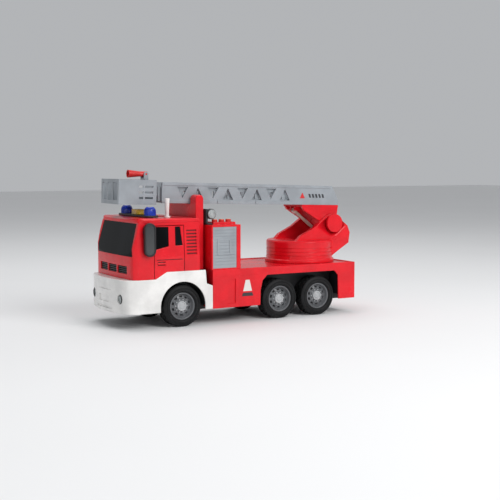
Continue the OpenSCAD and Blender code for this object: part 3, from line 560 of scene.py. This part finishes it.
def both(cutters):
    """The same cutters on both sides."""
    return cutters + [other_side(cutter) for cutter in cutters]


def pair(name, piece):
    """A piece and its mirrored copy, as one object."""
    return join(name, [piece, other_side(piece)])


def second_finish(piece, finish, test):
    """Give the faces that pass a test another finish."""
    piece.data.materials.append(finish)
    pick(piece, test)
    piece.active_material_index = len(piece.data.materials) - 1
    bpy.ops.object.material_slot_assign()
    return close(piece)


print(f"cab {cab_low.x:.0f} to {cab_high.x:.0f}, deck {deck:.1f}, waist {waist:.0f}, roof {roof:.0f}")

# %% [markdown]
# ## The cab
# The cab is one red moulding. Its doors, louvres and handle wells are only sunk lines in the mould, so
# they are cut into the copy with one boolean. Above the waist the sides lean in, so each cutter is split
# at the waist and its top is moved in by the same lean; without that a line would fade out as it climbs.

# %% Cutters that follow the cab's side
def side_cutter(x0, x1, z0, z1, depth):
    """A box that sinks to one depth in the cab's left side, wherever it lies."""
    cutter = box("side_cutter", (x0, half - depth, z0), (x1, half + 4, z1))
    if z0 < waist < z1:
        pick(cutter, lambda middle, normal: True)
        bpy.ops.mesh.bisect(plane_co=(0, 0, waist * MM), plane_no=(0, 0, 1))
        close(cutter)
    for z, way in ((z0, -UP), (z1, UP)):
        if z > waist:
            pick(cutter, facing(way))
            bpy.ops.transform.translate(value=(0, -(z - waist) * CAB_LEAN * MM, 0))
            close(cutter)
    return cutter


GROOVE = 1.0
LOUVRES = 8
LOUVRE_PITCH = 4.1
LOUVRE = 1.9
door_rear = cab_low.x + 21
door_front = cab_high.x - 31
door_top = roof - 9
cutters = [
    side_cutter(door_rear, door_rear + GROOVE, seam - 2, door_top, 0.8),
    side_cutter(door_front, door_front + GROOVE, seam - 12, door_top, 0.8),
    side_cutter(door_rear + GROOVE + 0.02, door_front - 0.02, door_top - GROOVE, door_top, 0.8),
    side_cutter(door_rear + 3, door_front - 3, waist - 4.0, waist - 2.9, 0.7),
    side_cutter(door_front - 15, door_front - 4, waist - 10.4, waist - 5.6, 1.3),
]
for row in range(LOUVRES):
    z = waist + 2 + row * LOUVRE_PITCH
    cutters.append(side_cutter(cab_low.x + 4, cab_low.x + 18, z, z + LOUVRE, 1.4))
print(f"cab: {len(cutters)} cutters for each side")

# %% Round and cut the cab
openings = [sum(corner.z for corner in corners(node)) / 2 for node in ("window_insert", "front_grille")]
cab = soften(moulding("cab_shell", openings), width=0.45, steps=3, split=True)
hatch = box("hatch_cutter", (cab_low.x + 8, -17, roof - 2.6), (cab_low.x + 40, 17, roof + 2))
pick(hatch, lambda middle, normal: abs(normal.z) < 0.5)
bpy.ops.mesh.bevel(offset=2 * MM, segments=3, affect="EDGES")
close(hatch)
carve(cab, both(cutters) + [hatch])
dress(cab, "cab", "cab_shell")


def in_groove(middle, normal):
    """Whether a face is the floor of a groove in the cab's side, away from its rounded edges."""
    side_face = half * MM - max(0, middle.z - waist * MM) * CAB_LEAN
    depth = side_face - abs(middle.y)
    return abs(normal.y) > 0.9 and 0.5 * MM < depth < 2.0 * MM


# The groove floors take the darker red: painted shade in the door lines, louvres and handle wells
second_finish(cab, groove_shade_red, in_groove)

# %% [markdown]
# ## Windows, grille and door handles
# The glazing is one smoky insert pressed in from behind, which stands almost flush. The grille is a
# black insert with thin slats. Each handle is a small rounded bar across its well.

# %% Glazing, slats and handles
dress_moulding("window_insert", "glazing", width=0.25, clamp=True)

SLAT_GAPS = 4
SLAT_PITCH = 2.4
SLAT_GAP = 1.2
grille = soften(moulding("front_grille"), width=0.2)
grille_low, grille_high = corners("front_grille")
gaps = []
for row in range(SLAT_GAPS):
    foot = grille_low.z + 4.2 + row * SLAT_PITCH
    gaps.append(box("gap", (grille_high.x - 4, grille_low.y - 1, foot),
                    (grille_high.x + 2, grille_high.y + 1, foot + SLAT_GAP)))
dress(carve(grille, gaps), "grille", "front_grille")

handle = box("door_handle_left", (door_front - 15.6, half - 1.0, waist - 9.2),
             (door_front - 3.4, half + 0.5, waist - 6.8))
turn_rings(handle, facing(LEFT), [(0.5, 0.15)])
soften(handle, width=0.45, steps=3)
dress(other_side(handle), "door_handle_right", on="cab_shell")
dress(handle, "door_handle_left", on="cab_shell")

# %% [markdown]
# ## Bumper, lamps and mirrors
# The white bumper and wings are one piece. A blank plate, a low air slot and a brow line are sunk in its
# middle. Each lamp is a clear lens with moulded rings, held in a thin black bezel. The mirrors are tall
# ovals whose outer face is sunk and glossy.

# %% Bumper and lamps
bumper = soften(moulding("front_bumper"), width=0.8, steps=3)
lip = bumper_low.z
front = bumper_high.x
plate = box("plate_cutter", (front - 1.5, -15, lip + 12), (front + 2, 15, lip + 20))
air_slot = box("air_slot_cutter", (front - 1.9, -24, lip + 4), (front + 2, 24, lip + 7))
brow = box("brow_cutter", (front - 1.2, -21, lip + 27.5), (front + 2, 21, lip + 28.5))
dress(carve(bumper, [plate, air_slot, brow]), "bumper", "front_bumper")

lamp_low, lamp_high = corners("headlights")
lamp_radius = (lamp_high.z - lamp_low.z) / 2
lamp = Vector((lamp_high.x, lamp_high.y - lamp_radius, lamp_high.z - lamp_radius))
lens = bar("headlamp_left", lamp_radius, (lamp_low.x, lamp.y, lamp.z), (lamp.x - 1.6, lamp.y, lamp.z))
turn_rings(lens, facing(FORWARD), [(0.5, 0.5), (0.5, 0), (0.15, -0.6), (0.9, 0), (0.15, 0.5), (0.8, 0.1),
                                   (0.2, -0.4), (0.9, 0.2)])
BEZEL = 1.5                             # how far the bezel reaches past the lens
bezel = bar("bezel_left", lamp_radius + BEZEL,
            (lamp.x - 3.5, lamp.y, lamp.z), (lamp.x - 0.3, lamp.y, lamp.z))
pick(bezel, facing_along(FORWARD))
ring_steps([(BEZEL - 0.15, 0)])
bpy.ops.mesh.bridge_edge_loops()
close(bezel)
soften(bezel, width=0.5, steps=3, angle=50)
shade_below(lens, 35)
shade_below(bezel, 35)
dress(pair("headlamps", lens), "headlamps", "headlights", slot="clear_lens")
dress(pair("lamp_bezels", bezel), "lamp_bezels", on="front_bumper", slot="black_abs")

# %% Mirrors
head = soften(moulding("mirror_left"), width=0.6, steps=3, split=True)
head_face = corners("mirror_left")[1].y
SINK = 0.8                              # how deep the glossy face lies in its frame
pick(head, lambda middle, normal: normal.y > 0.99 and middle.y / MM > head_face - 0.1)
bpy.ops.mesh.dissolve_faces()
ring_steps([(1.1, 0.0), (0.3, -SINK)])
close(head)
second_finish(head, mirror_face, lambda middle, normal:
              normal.y > 0.99 and abs(middle.y / MM - (head_face - SINK)) < 0.2)
dress(other_side(head), "mirror_right_head", "mirror_right")
dress(smooth(head), "mirror_left_head", "mirror_left")

# %% [markdown]
# ## Warning lights and the roof horn
# The beacons are dyed caps with upright flutes that scatter the light. A flute is made by sinking every
# other side face; the dome is the top face inset and raised a few times, along a quarter circle.

# %% Fluted beacons
BEACON_SIDES = 64
BEACON_WALL = 4.5                       # height of the upright wall under the dome
DOME_HEIGHTS = (0, 2, 3.6, 4.8, 5.6, 5.95)
FLUTE_DEPTH = 0.5


def is_flute(middle, normal):
    """Whether a face is one of every other faces round a beacon's wall."""
    turn = Vector(normal.xy).angle_signed(Vector((1, 0))) / (2 * pi / BEACON_SIDES)
    return abs(normal.z) < 0.5 and round(turn - 0.5) % 2


def beacon(node):
    """A domed and fluted cap in the place of a plain one."""
    low, high = corners(node)
    centre = (low + high) / 2
    radius = (high.x - low.x) / 2
    cap = bar("beacon", radius, (centre.x, centre.y, low.z), (centre.x, centre.y, low.z + BEACON_WALL),
              BEACON_SIDES)
    spans = [(radius ** 2 - height ** 2) ** 0.5 for height in DOME_HEIGHTS]
    turn_rings(cap, facing(UP), [(spans[i] - spans[i + 1], DOME_HEIGHTS[i + 1] - DOME_HEIGHTS[i])
                                 for i in range(len(spans) - 1)])
    pick(cap, is_flute)
    bpy.ops.mesh.inset(thickness=0.08 * MM, depth=-FLUTE_DEPTH * MM, use_individual=True)
    close(cap)
    shade_below(cap, 24)
    return dress(cap, node.replace("lens", "beacon"), node)


beacon("blue_lens_left")
beacon("blue_lens_right")

# %% Amber lens, base and horn
RIB_GROOVES = 6
RIB_PITCH = 2.4
RIB_GROOVE = 1.0
amber = soften(moulding("amber_lens"), width=0.8, steps=3)
amber_low, amber_high = corners("amber_lens")
ribs = []
for number in range(RIB_GROOVES):
    side = amber_low.y + (number + 1) * RIB_PITCH
    ribs.append(box("rib_groove", (amber_low.x - 1, side, amber_high.z - 0.5),
                    (amber_high.x + 1, side + RIB_GROOVE, amber_high.z + 1)))
dress(carve(amber, ribs), "amber_warning_light", "amber_lens")
dress_moulding("light_bar_base", "light_bar", width=0.7, steps=3)

horn = moulding("roof_horn")
horn_top = corners("roof_horn")[1].z
turn_rings(horn, lambda middle, normal: middle.z / MM > horn_top - 0.1 and normal.z > 0.9,
           [(0.7, 0.0), (0.5, -2.5)])
dress(soften(horn, width=0.3), "horn", "roof_horn")

# %% [markdown]
# ## Rear body and equipment tower
# The rear body is a second red moulding with a sunken deck. Its skirt has an upright recess, and its
# tail has level grooves like a roller shutter. The tower stands on it and holds a light grey shutter on
# each side. The grey shutters have fine slats, so their edges are rounded only a little.

# %% Rear body
body = soften(moulding("rear_body"), width=0.6, steps=3)
skirt = body_high.x
sill = body_low.z
recess = box("recess_cutter", (skirt - 33, half - 1.4, sill + 6), (skirt - 22, half + 2, seam - 14))
side_line = box("line_cutter", (skirt - 66, half - 0.4, deck - 9.5), (skirt - 2, half + 2, deck - 8.8))
tail_lines = []
for row in range(4):
    z = deck - 10 - row * 5
    tail_lines.append(box("tail_cutter", (body_low.x - 2, -36, z), (body_low.x + 0.7, 36, z + GROOVE)))
carve(body, both([recess, side_line]) + tail_lines)
dress(body, "rear_body_shell", "rear_body")
dress_moulding("tail_lamps", "tail_lights", width=0.5, steps=3)
dress_moulding("arch_liners", "wheel_arch_liners", width=0.2)

# %% Tower, shutters and search lamp
tower = soften(moulding("equipment_tower"), width=0.6, steps=3)
tower_back = corners("equipment_tower")[0].x
back_lines = []
for row in range(7):
    z = deck + 8 + row * 6
    back_lines.append(box("back_cutter", (tower_back - 2, -30, z), (tower_back + 0.6, 30, z + GROOVE)))
dress(carve(tower, back_lines), "tower", "equipment_tower")
for node in ("shutter_left", "shutter_right"):
    dress_moulding(node, f"{node}_panel", width=0.16, split=True)
dress_moulding("search_lamp_bracket", "lamp_bracket")

glass_low, glass_high = corners("search_lamp_lens")
glass = (glass_low + glass_high) / 2
radius = (glass_high.z - glass_low.z) / 2
lens = bar("search_lamp", radius, (glass.x, glass_low.y, glass.z),
           (glass.x, glass_high.y - 0.5, glass.z))
turn_rings(lens, facing(LEFT), [(0.4, 0.45), (0.7, 0), (0.1, -0.5), (1.2, -0.1), (0.1, 0.25), (0.4, 0),
                                (0.1, -0.25), (1.2, 0.1)])
dress(shade_below(lens, 35), "search_lamp", "search_lamp_lens")

# %% Sound buttons with beige caps
CAP_RADIUS = 2.7
for number in (1, 2, 3):
    node = f"button_{number}"
    low, high = corners(node)
    middle = (low + high) / 2
    dress_moulding(node, f"sound_{node}", width=0.3, steps=3)
    cap = bar("cap", CAP_RADIUS, (middle.x, middle.y, high.z - 0.3),
              (middle.x, middle.y, high.z + 0.25), 32)
    turn_rings(cap, facing(UP), [(0.35, 0.2), (0.9, 0), (0.15, -0.25), (0.6, 0)])
    shade_below(cap, 30)
    dress(cap, f"button_cap_{number}", on=node, finish=beige_face, slot="gear_nylon")

# %% [markdown]
# ## Ladder rest, ladder and labels
# The rest and the ladder are plain mouldings, so they get rounded edges and the joint lines of the
# ladder's sections. The plain rear plate of a toy ladder carries a printed label; here it is a small red
# triangle and a row of slanted dark bars, made as very thin raised pieces so that they keep their sharp
# printed edge.

# %% Ladder rest and ladder sections
dress_moulding("ladder_rest", "rest_post", width=0.9, steps=3)

rails = soften(moulding("ladder_base_section"), width=0.35, clamp=True)
rail_half = corners("ladder_base_section")[1].y
marks = []
for along in (121.5, 179):
    x, z = on_ladder(along, 24)
    marks.append(box("mark_cutter", (x, rail_half - 1.1, z - 1), (x + 0.7, rail_half + 1, z + 6.4)))
dress(carve(rails, both(marks)), "ladder_lower_section", "ladder_base_section")
dress_moulding("ladder_fly_section", "ladder_upper_section", width=0.3, clamp=True)
dress_moulding("ladder_cradle", "cradle", width=0.3, split=True)

# %% Printed label on the rear plate
plate_face = rail_half - 0.8            # the plate lies inside the rails' flanges
LABEL_RISE = 37                         # from the pivot's level to the middle of the label
BAR_PITCH = 5.4
BAR_SLANT = 1.6
INK = 0.12                              # how far the print stands out


def dress_print(piece, name, on, finish, slot):
    """Mirror a thin printed piece to the other side and let both ride on a part."""
    return dress(pair(name, piece), name, on=on, finish=finish, slot=slot)


bars = []
for number in range(5):
    x, z = on_ladder(12 + number * BAR_PITCH, LABEL_RISE)
    piece = box("bar", (x, plate_face - 0.3, z - 2.6), (x + 3.0, plate_face + INK, z + 2.6))
    pick(piece, facing(UP))
    bpy.ops.transform.translate(value=(BAR_SLANT * MM, 0, 0))
    bars.append(close(piece))
dress_print(join("bars", bars), "label_bars", "ladder_base_section", label_dark, "black_abs")
x, z = on_ladder(48, LABEL_RISE)
triangle = box("triangle", (x - 4, plate_face - 0.3, z - 3.6), (x + 4, plate_face + INK, z + 3.6))
taper(triangle, 0.12)
dress_print(triangle, "label_triangle", "ladder_base_section", label_red, "red_abs")

# %% [markdown]
# ## Turntable, strut and basket
# The turntable's cheeks have a round well where the pin's head sits. The strut is a smooth pale rod in a
# plain cylinder. The basket is a thin tray with slots, and the water monitor's nozzle is bored out.

# %% Turntable and strut
turntable = soften(moulding("turntable"), width=0.3, split=True)
WELL_RADIUS = 12.5
WELL_DEPTH = 0.9
cheek = pin_high.y - 2                  # outer face of a cheek
well = bar("well_cutter", WELL_RADIUS, (pivot.x, cheek - WELL_DEPTH, pivot.z),
           (pivot.x, cheek + 4, pivot.z), 64)
dress(carve(turntable, both([well])), "turntable_shell", "turntable")
dress_moulding("pivot_pin", "pin_heads", width=0.5, steps=3)
dress_moulding("strut_cylinder", "strut_barrel")
dress_moulding("strut_rod", "strut_bar", finish=rod_grey, width=0.2)

# %% Basket and water monitor
dress_moulding("basket", "rescue_basket", width=0.35, clamp=True)
dress_moulding("monitor_base", "monitor_mount", width=0.35, clamp=True)
nozzle = moulding("monitor_nozzle")
muzzle = corners("monitor_nozzle")[1].x
turn_rings(nozzle, lambda middle, normal: normal.x > 0.9 and middle.x / MM > muzzle - 0.6,
           [(1.1, 0), (0.4, -4)])
dress(soften(nozzle, width=0.35, clamp=True), "nozzle", "monitor_nozzle")

# %% [markdown]
# ## Wheels
# One tyre and one rim are modelled at the left front wheel and copied to all six places; a right wheel
# is turned half round about the upright axis, so that its face looks outwards. A tyre starts as a
# cylinder whose end caps are inset in small steps, which is how a lathe would turn the sidewall's rings.

# %% One tyre
tyre_low, tyre_high = corners("tyre_1_left")
hub = (tyre_low + tyre_high) / 2
tyre_radius = (tyre_high.z - tyre_low.z) / 2
rim_low, rim_high = corners("rim_1_left")
rim_radius = (rim_high.z - rim_low.z) / 2
TREAD_SIDES = 96
SHOULDER = 2.2                          # how far a sidewall stands out past the tread
SIDEWALL_STEPS = [(0.5, 0.5), (1.0, 0.8), (1.6, 0.6), (0.3, -0.5), (0.8, 0), (0.3, 0.5), (2.0, 0.25),
                  (0.9, -0.5), (0.6, -0.9)]
RING_GROOVE = (3.0, 4.2)                # where a groove runs round the tread, from its middle
TREAD_DEPTH = 1.1


def from_hub(place):
    """A place in the wheel's own plane, as seen from its axis, in millimetres."""
    return Vector((place.x, place.z)) / MM - Vector((hub.x, hub.z))


def sector(place, sides):
    """Which of a wheel's equal sectors a place lies in."""
    return round(from_hub(place).angle_signed(Vector((1, 0))) / (2 * pi / sides) - 0.5)


def is_tread(middle, normal):
    """Whether a face lies on the tread."""
    return abs(normal.y) < 0.1 and from_hub(middle).length > tyre_radius - 0.6


def is_groove(middle, normal):
    """Whether a face of the tread lies in a ring groove or in a cross groove."""
    if not is_tread(middle, normal):
        return False
    inner, outer = RING_GROOVE
    across = abs(middle.y / MM - hub.y)
    shift = 2 if across < inner else 0
    return inner < across < outer or (sector(middle, TREAD_SIDES) + shift) % 4 == 0


tyre = bar("tyre", tyre_radius, (hub.x, tyre_low.y + SHOULDER, hub.z),
           (hub.x, tyre_high.y - SHOULDER, hub.z), TREAD_SIDES)
pick(tyre, facing_along(LEFT))
ring_steps(SIDEWALL_STEPS)
wall_left = tyre_radius - sum(inwards for inwards, outwards in SIDEWALL_STEPS) - rim_radius
ring_steps([(wall_left - 0.05, -0.3)])
bpy.ops.mesh.bridge_edge_loops()
close(tyre)
for offset in (-RING_GROOVE[1], -RING_GROOVE[0], *RING_GROOVE):
    pick(tyre, is_tread)
    bpy.ops.mesh.bisect(plane_co=(0, (hub.y + offset) * MM, 0), plane_no=LEFT)
    close(tyre)
grooves = pick(tyre, is_groove)
bpy.ops.mesh.inset(thickness=0.12 * MM, depth=-TREAD_DEPTH * MM)
close(tyre)
shade_below(tyre, 28)
print(f"tyre: {grooves} groove faces, {len(tyre.data.polygons)} faces")

# %% One rim, with hand holes, hub and wheel nuts
RIM_SIDES = 80
RIM_STEPS = [(1.3, 0), (0.5, -0.9), (0.5, -2.0), (0.8, -1.6), (0.5, 0.2), (3.2, 0.9), (0.8, 0.2),
             (0.3, -0.5), (2.6, 0), (0.25, 2.4), (0.4, 0.4), (1.3, 0), (0.2, -0.5), (0.7, 0), (0.2, 0.4),
             (0.8, 0.2)]
HOLES_FROM = 10.4                       # the hand holes lie between two distances from the axis
HOLES_TO = 13.4
SECTORS_PER_HOLE = 8                    # of which five are sunk, their floors painted shade
HUB_RADIUS = 6.4
NUTS = 10
NUT_CIRCLE = 7.9
NUT_RADIUS = 0.95


def is_hand_hole(middle, normal):
    """Whether a face of the rim's dish belongs to a hand hole."""
    in_ring = HOLES_FROM < from_hub(middle).length < HOLES_TO
    return normal.y > 0.5 and in_ring and 1 <= sector(middle, RIM_SIDES) % SECTORS_PER_HOLE <= 5


def wheel_nut(angle):
    """A small six-sided nut with a chamfer and a stub of its stud."""
    x = hub.x + NUT_CIRCLE * cos(angle)
    z = hub.z + NUT_CIRCLE * sin(angle)
    nut = bar("nut", NUT_RADIUS, (x, rim_high.y - 4.6, z), (x, rim_high.y - 3.0, z), 6)
    nut.data.materials.append(hub_silver)
    return turn_rings(nut, facing(LEFT), [(0.25, 0.2), (0.1, 0.25), (0.2, 0.1)])


rim = bar("rim", rim_radius, (hub.x, rim_low.y, hub.z), (hub.x, rim_high.y, hub.z), RIM_SIDES)
turn_rings(rim, facing(LEFT), RIM_STEPS)
turn_rings(rim, facing(-LEFT), [(1.8, 0), (0.2, -9.5), (8.6, 0), (0.3, 8.0)])
# The hand holes are blind, and their floors take black plastic: painted shade for the dark inside an
# open hole
pick(rim, is_hand_hole)
bpy.ops.mesh.inset(thickness=0.35 * MM, depth=0)
bpy.ops.mesh.inset(thickness=0.1 * MM, depth=-2.2 * MM)
rim.data.materials.append(finishes["rim_grey"])
rim.data.materials.append(finishes["black_abs"])
rim.active_material_index = 1
bpy.ops.object.material_slot_assign()
close(rim)
modify(rim, "BEVEL", width=0.22 * MM, segments=2, limit_method="ANGLE", angle_limit=radians(40),
       use_clamp_overlap=False)
second_finish(rim, hub_silver, lambda middle, normal:
              middle.y / MM > rim_high.y - 5 and from_hub(middle).length < HUB_RADIUS)
rim = join("rim", [rim] + [wheel_nut(2 * pi * number / NUTS) for number in range(NUTS)])
shade_below(rim, 32)
print(f"rim: {len(rim.data.polygons)} faces")

# %% Six wheels
for axle in (1, 2, 3):
    for side in ("left", "right"):
        for model, kind in ((tyre, "tyre"), (rim, "rim")):
            node = f"{kind}_{axle}_{side}"
            low, high = corners(node)
            place = Matrix.Translation((low + high) / 2 * MM)
            turn = Matrix.Rotation(pi if side == "right" else 0, 4, "Z")
            wheel = bpy.data.objects.new(node, model.data.copy())
            bpy.context.scene.collection.objects.link(wheel)
            wheel.data.transform(place @ turn @ Matrix.Translation(-hub * MM))
            dress(wheel, f"{node}_wheel", node)
for model in (tyre, rim):
    bpy.data.objects.remove(model)

# %% [markdown]
# ## Skirt label and underside
# The label on the skirt is a pale wedge over a dark bar. Under the toy, the chassis tray, the battery
# cover and the switch get the same rounded edges as the rest, because a toy is turned over in the hand.
# The parts inside keep their exact shape and only take their finish.

# %% Label and underside
FOIL = 0.14                             # how far the label stands out
wedge = box("wedge", (skirt - 57, half - 0.5, sill + 20.5), (skirt - 44, half + FOIL, sill + 35))
taper(wedge, 0.45)
dress_print(wedge, "skirt_label", "rear_body", label_pale, "white_abs")
stripe = box("stripe", (skirt - 59, half - 0.5, sill + 14), (skirt - 42, half + FOIL, sill + 18.5))
taper(stripe, 0.8)
dress_print(stripe, "skirt_stripe", "rear_body", label_dark, "black_abs")
for node in ("chassis", "battery_cover", "power_switch"):
    dress_moulding(node, f"{node}_moulding", width=0.3)

# %% [markdown]
# ## Floor, lights and camera
# A wide pale floor, a large soft key light on the camera's side, a weaker fill from the front of the toy
# and a top light show gloss without hard shadows. The camera looks at the toy's left side, 30 degrees
# towards its front and from a little above, as someone would look into a shop's shelf.

# %% Floor
FLOOR_SIZE = 12                         # in metres
bpy.ops.mesh.primitive_grid_add(x_subdivisions=8, y_subdivisions=8, size=FLOOR_SIZE, location=(0, 0, 0))
floor = settle("floor")
sheet = Finish("pale_floor", Specular_IOR_Level=0.2)
cloud = sheet.noise(400, 2)
tint = sheet.blend(cloud, (0.78, 0.78, 0.78, 1), (0.82, 0.82, 0.82, 1))
floor.data.materials.append(sheet.paint(Base_Color=tint, Roughness=0.7 + cloud * 0.1))
print(f"floor: {FLOOR_SIZE} m square")

# %% Lights
TOY_MIDDLE = Vector((0, 0, 0.08))


def softbox(name, place, size, watts):
    """A square area light that looks at the middle of the toy."""
    light = bpy.data.lights.new(name, "AREA")
    light.size = size
    light.energy = watts
    lamp = bpy.data.objects.new(name, light)
    bpy.context.scene.collection.objects.link(lamp)
    lamp.location = place
    lamp.rotation_euler = (Vector(place) - TOY_MIDDLE).to_track_quat("Z", "Y").to_euler()


softbox("key_light", (-0.35, 1.35, 1.0), 0.9, 17)
softbox("fill_light", (1.3, 0.9, 0.6), 0.8, 1.5)
softbox("top_light", (0.0, -0.4, 1.6), 1.2, 10)
world = bpy.data.worlds.new("studio")
world.use_nodes = True
sky = world.node_tree.nodes["Background"]
sky.inputs["Color"].default_value = (0.9, 0.92, 0.95, 1)
sky.inputs["Strength"].default_value = 0.5
bpy.context.scene.world = world
bpy.context.scene.view_settings.view_transform = "Standard"
print(f"{len(bpy.data.lights)} area lights and a pale sky")

# %% Camera
azimuth = radians(149.8)                # 90 is the toy's front and 180 its left side
elevation = radians(4.9)
back = Vector((sin(azimuth) * cos(elevation), -cos(azimuth) * cos(elevation), sin(elevation)))
camera = bpy.data.objects.new("camera", bpy.data.cameras.new("camera"))
bpy.context.scene.collection.objects.link(camera)
camera.location = (0.654, 1.183, 0.204)
camera.rotation_euler = back.to_track_quat("Z", "Y").to_euler()
camera.data.lens = 72.9
bpy.context.scene.camera = camera
print(f"camera: {camera.data.lens:.1f} mm lens, {camera.location.length:.2f} m from the origin")
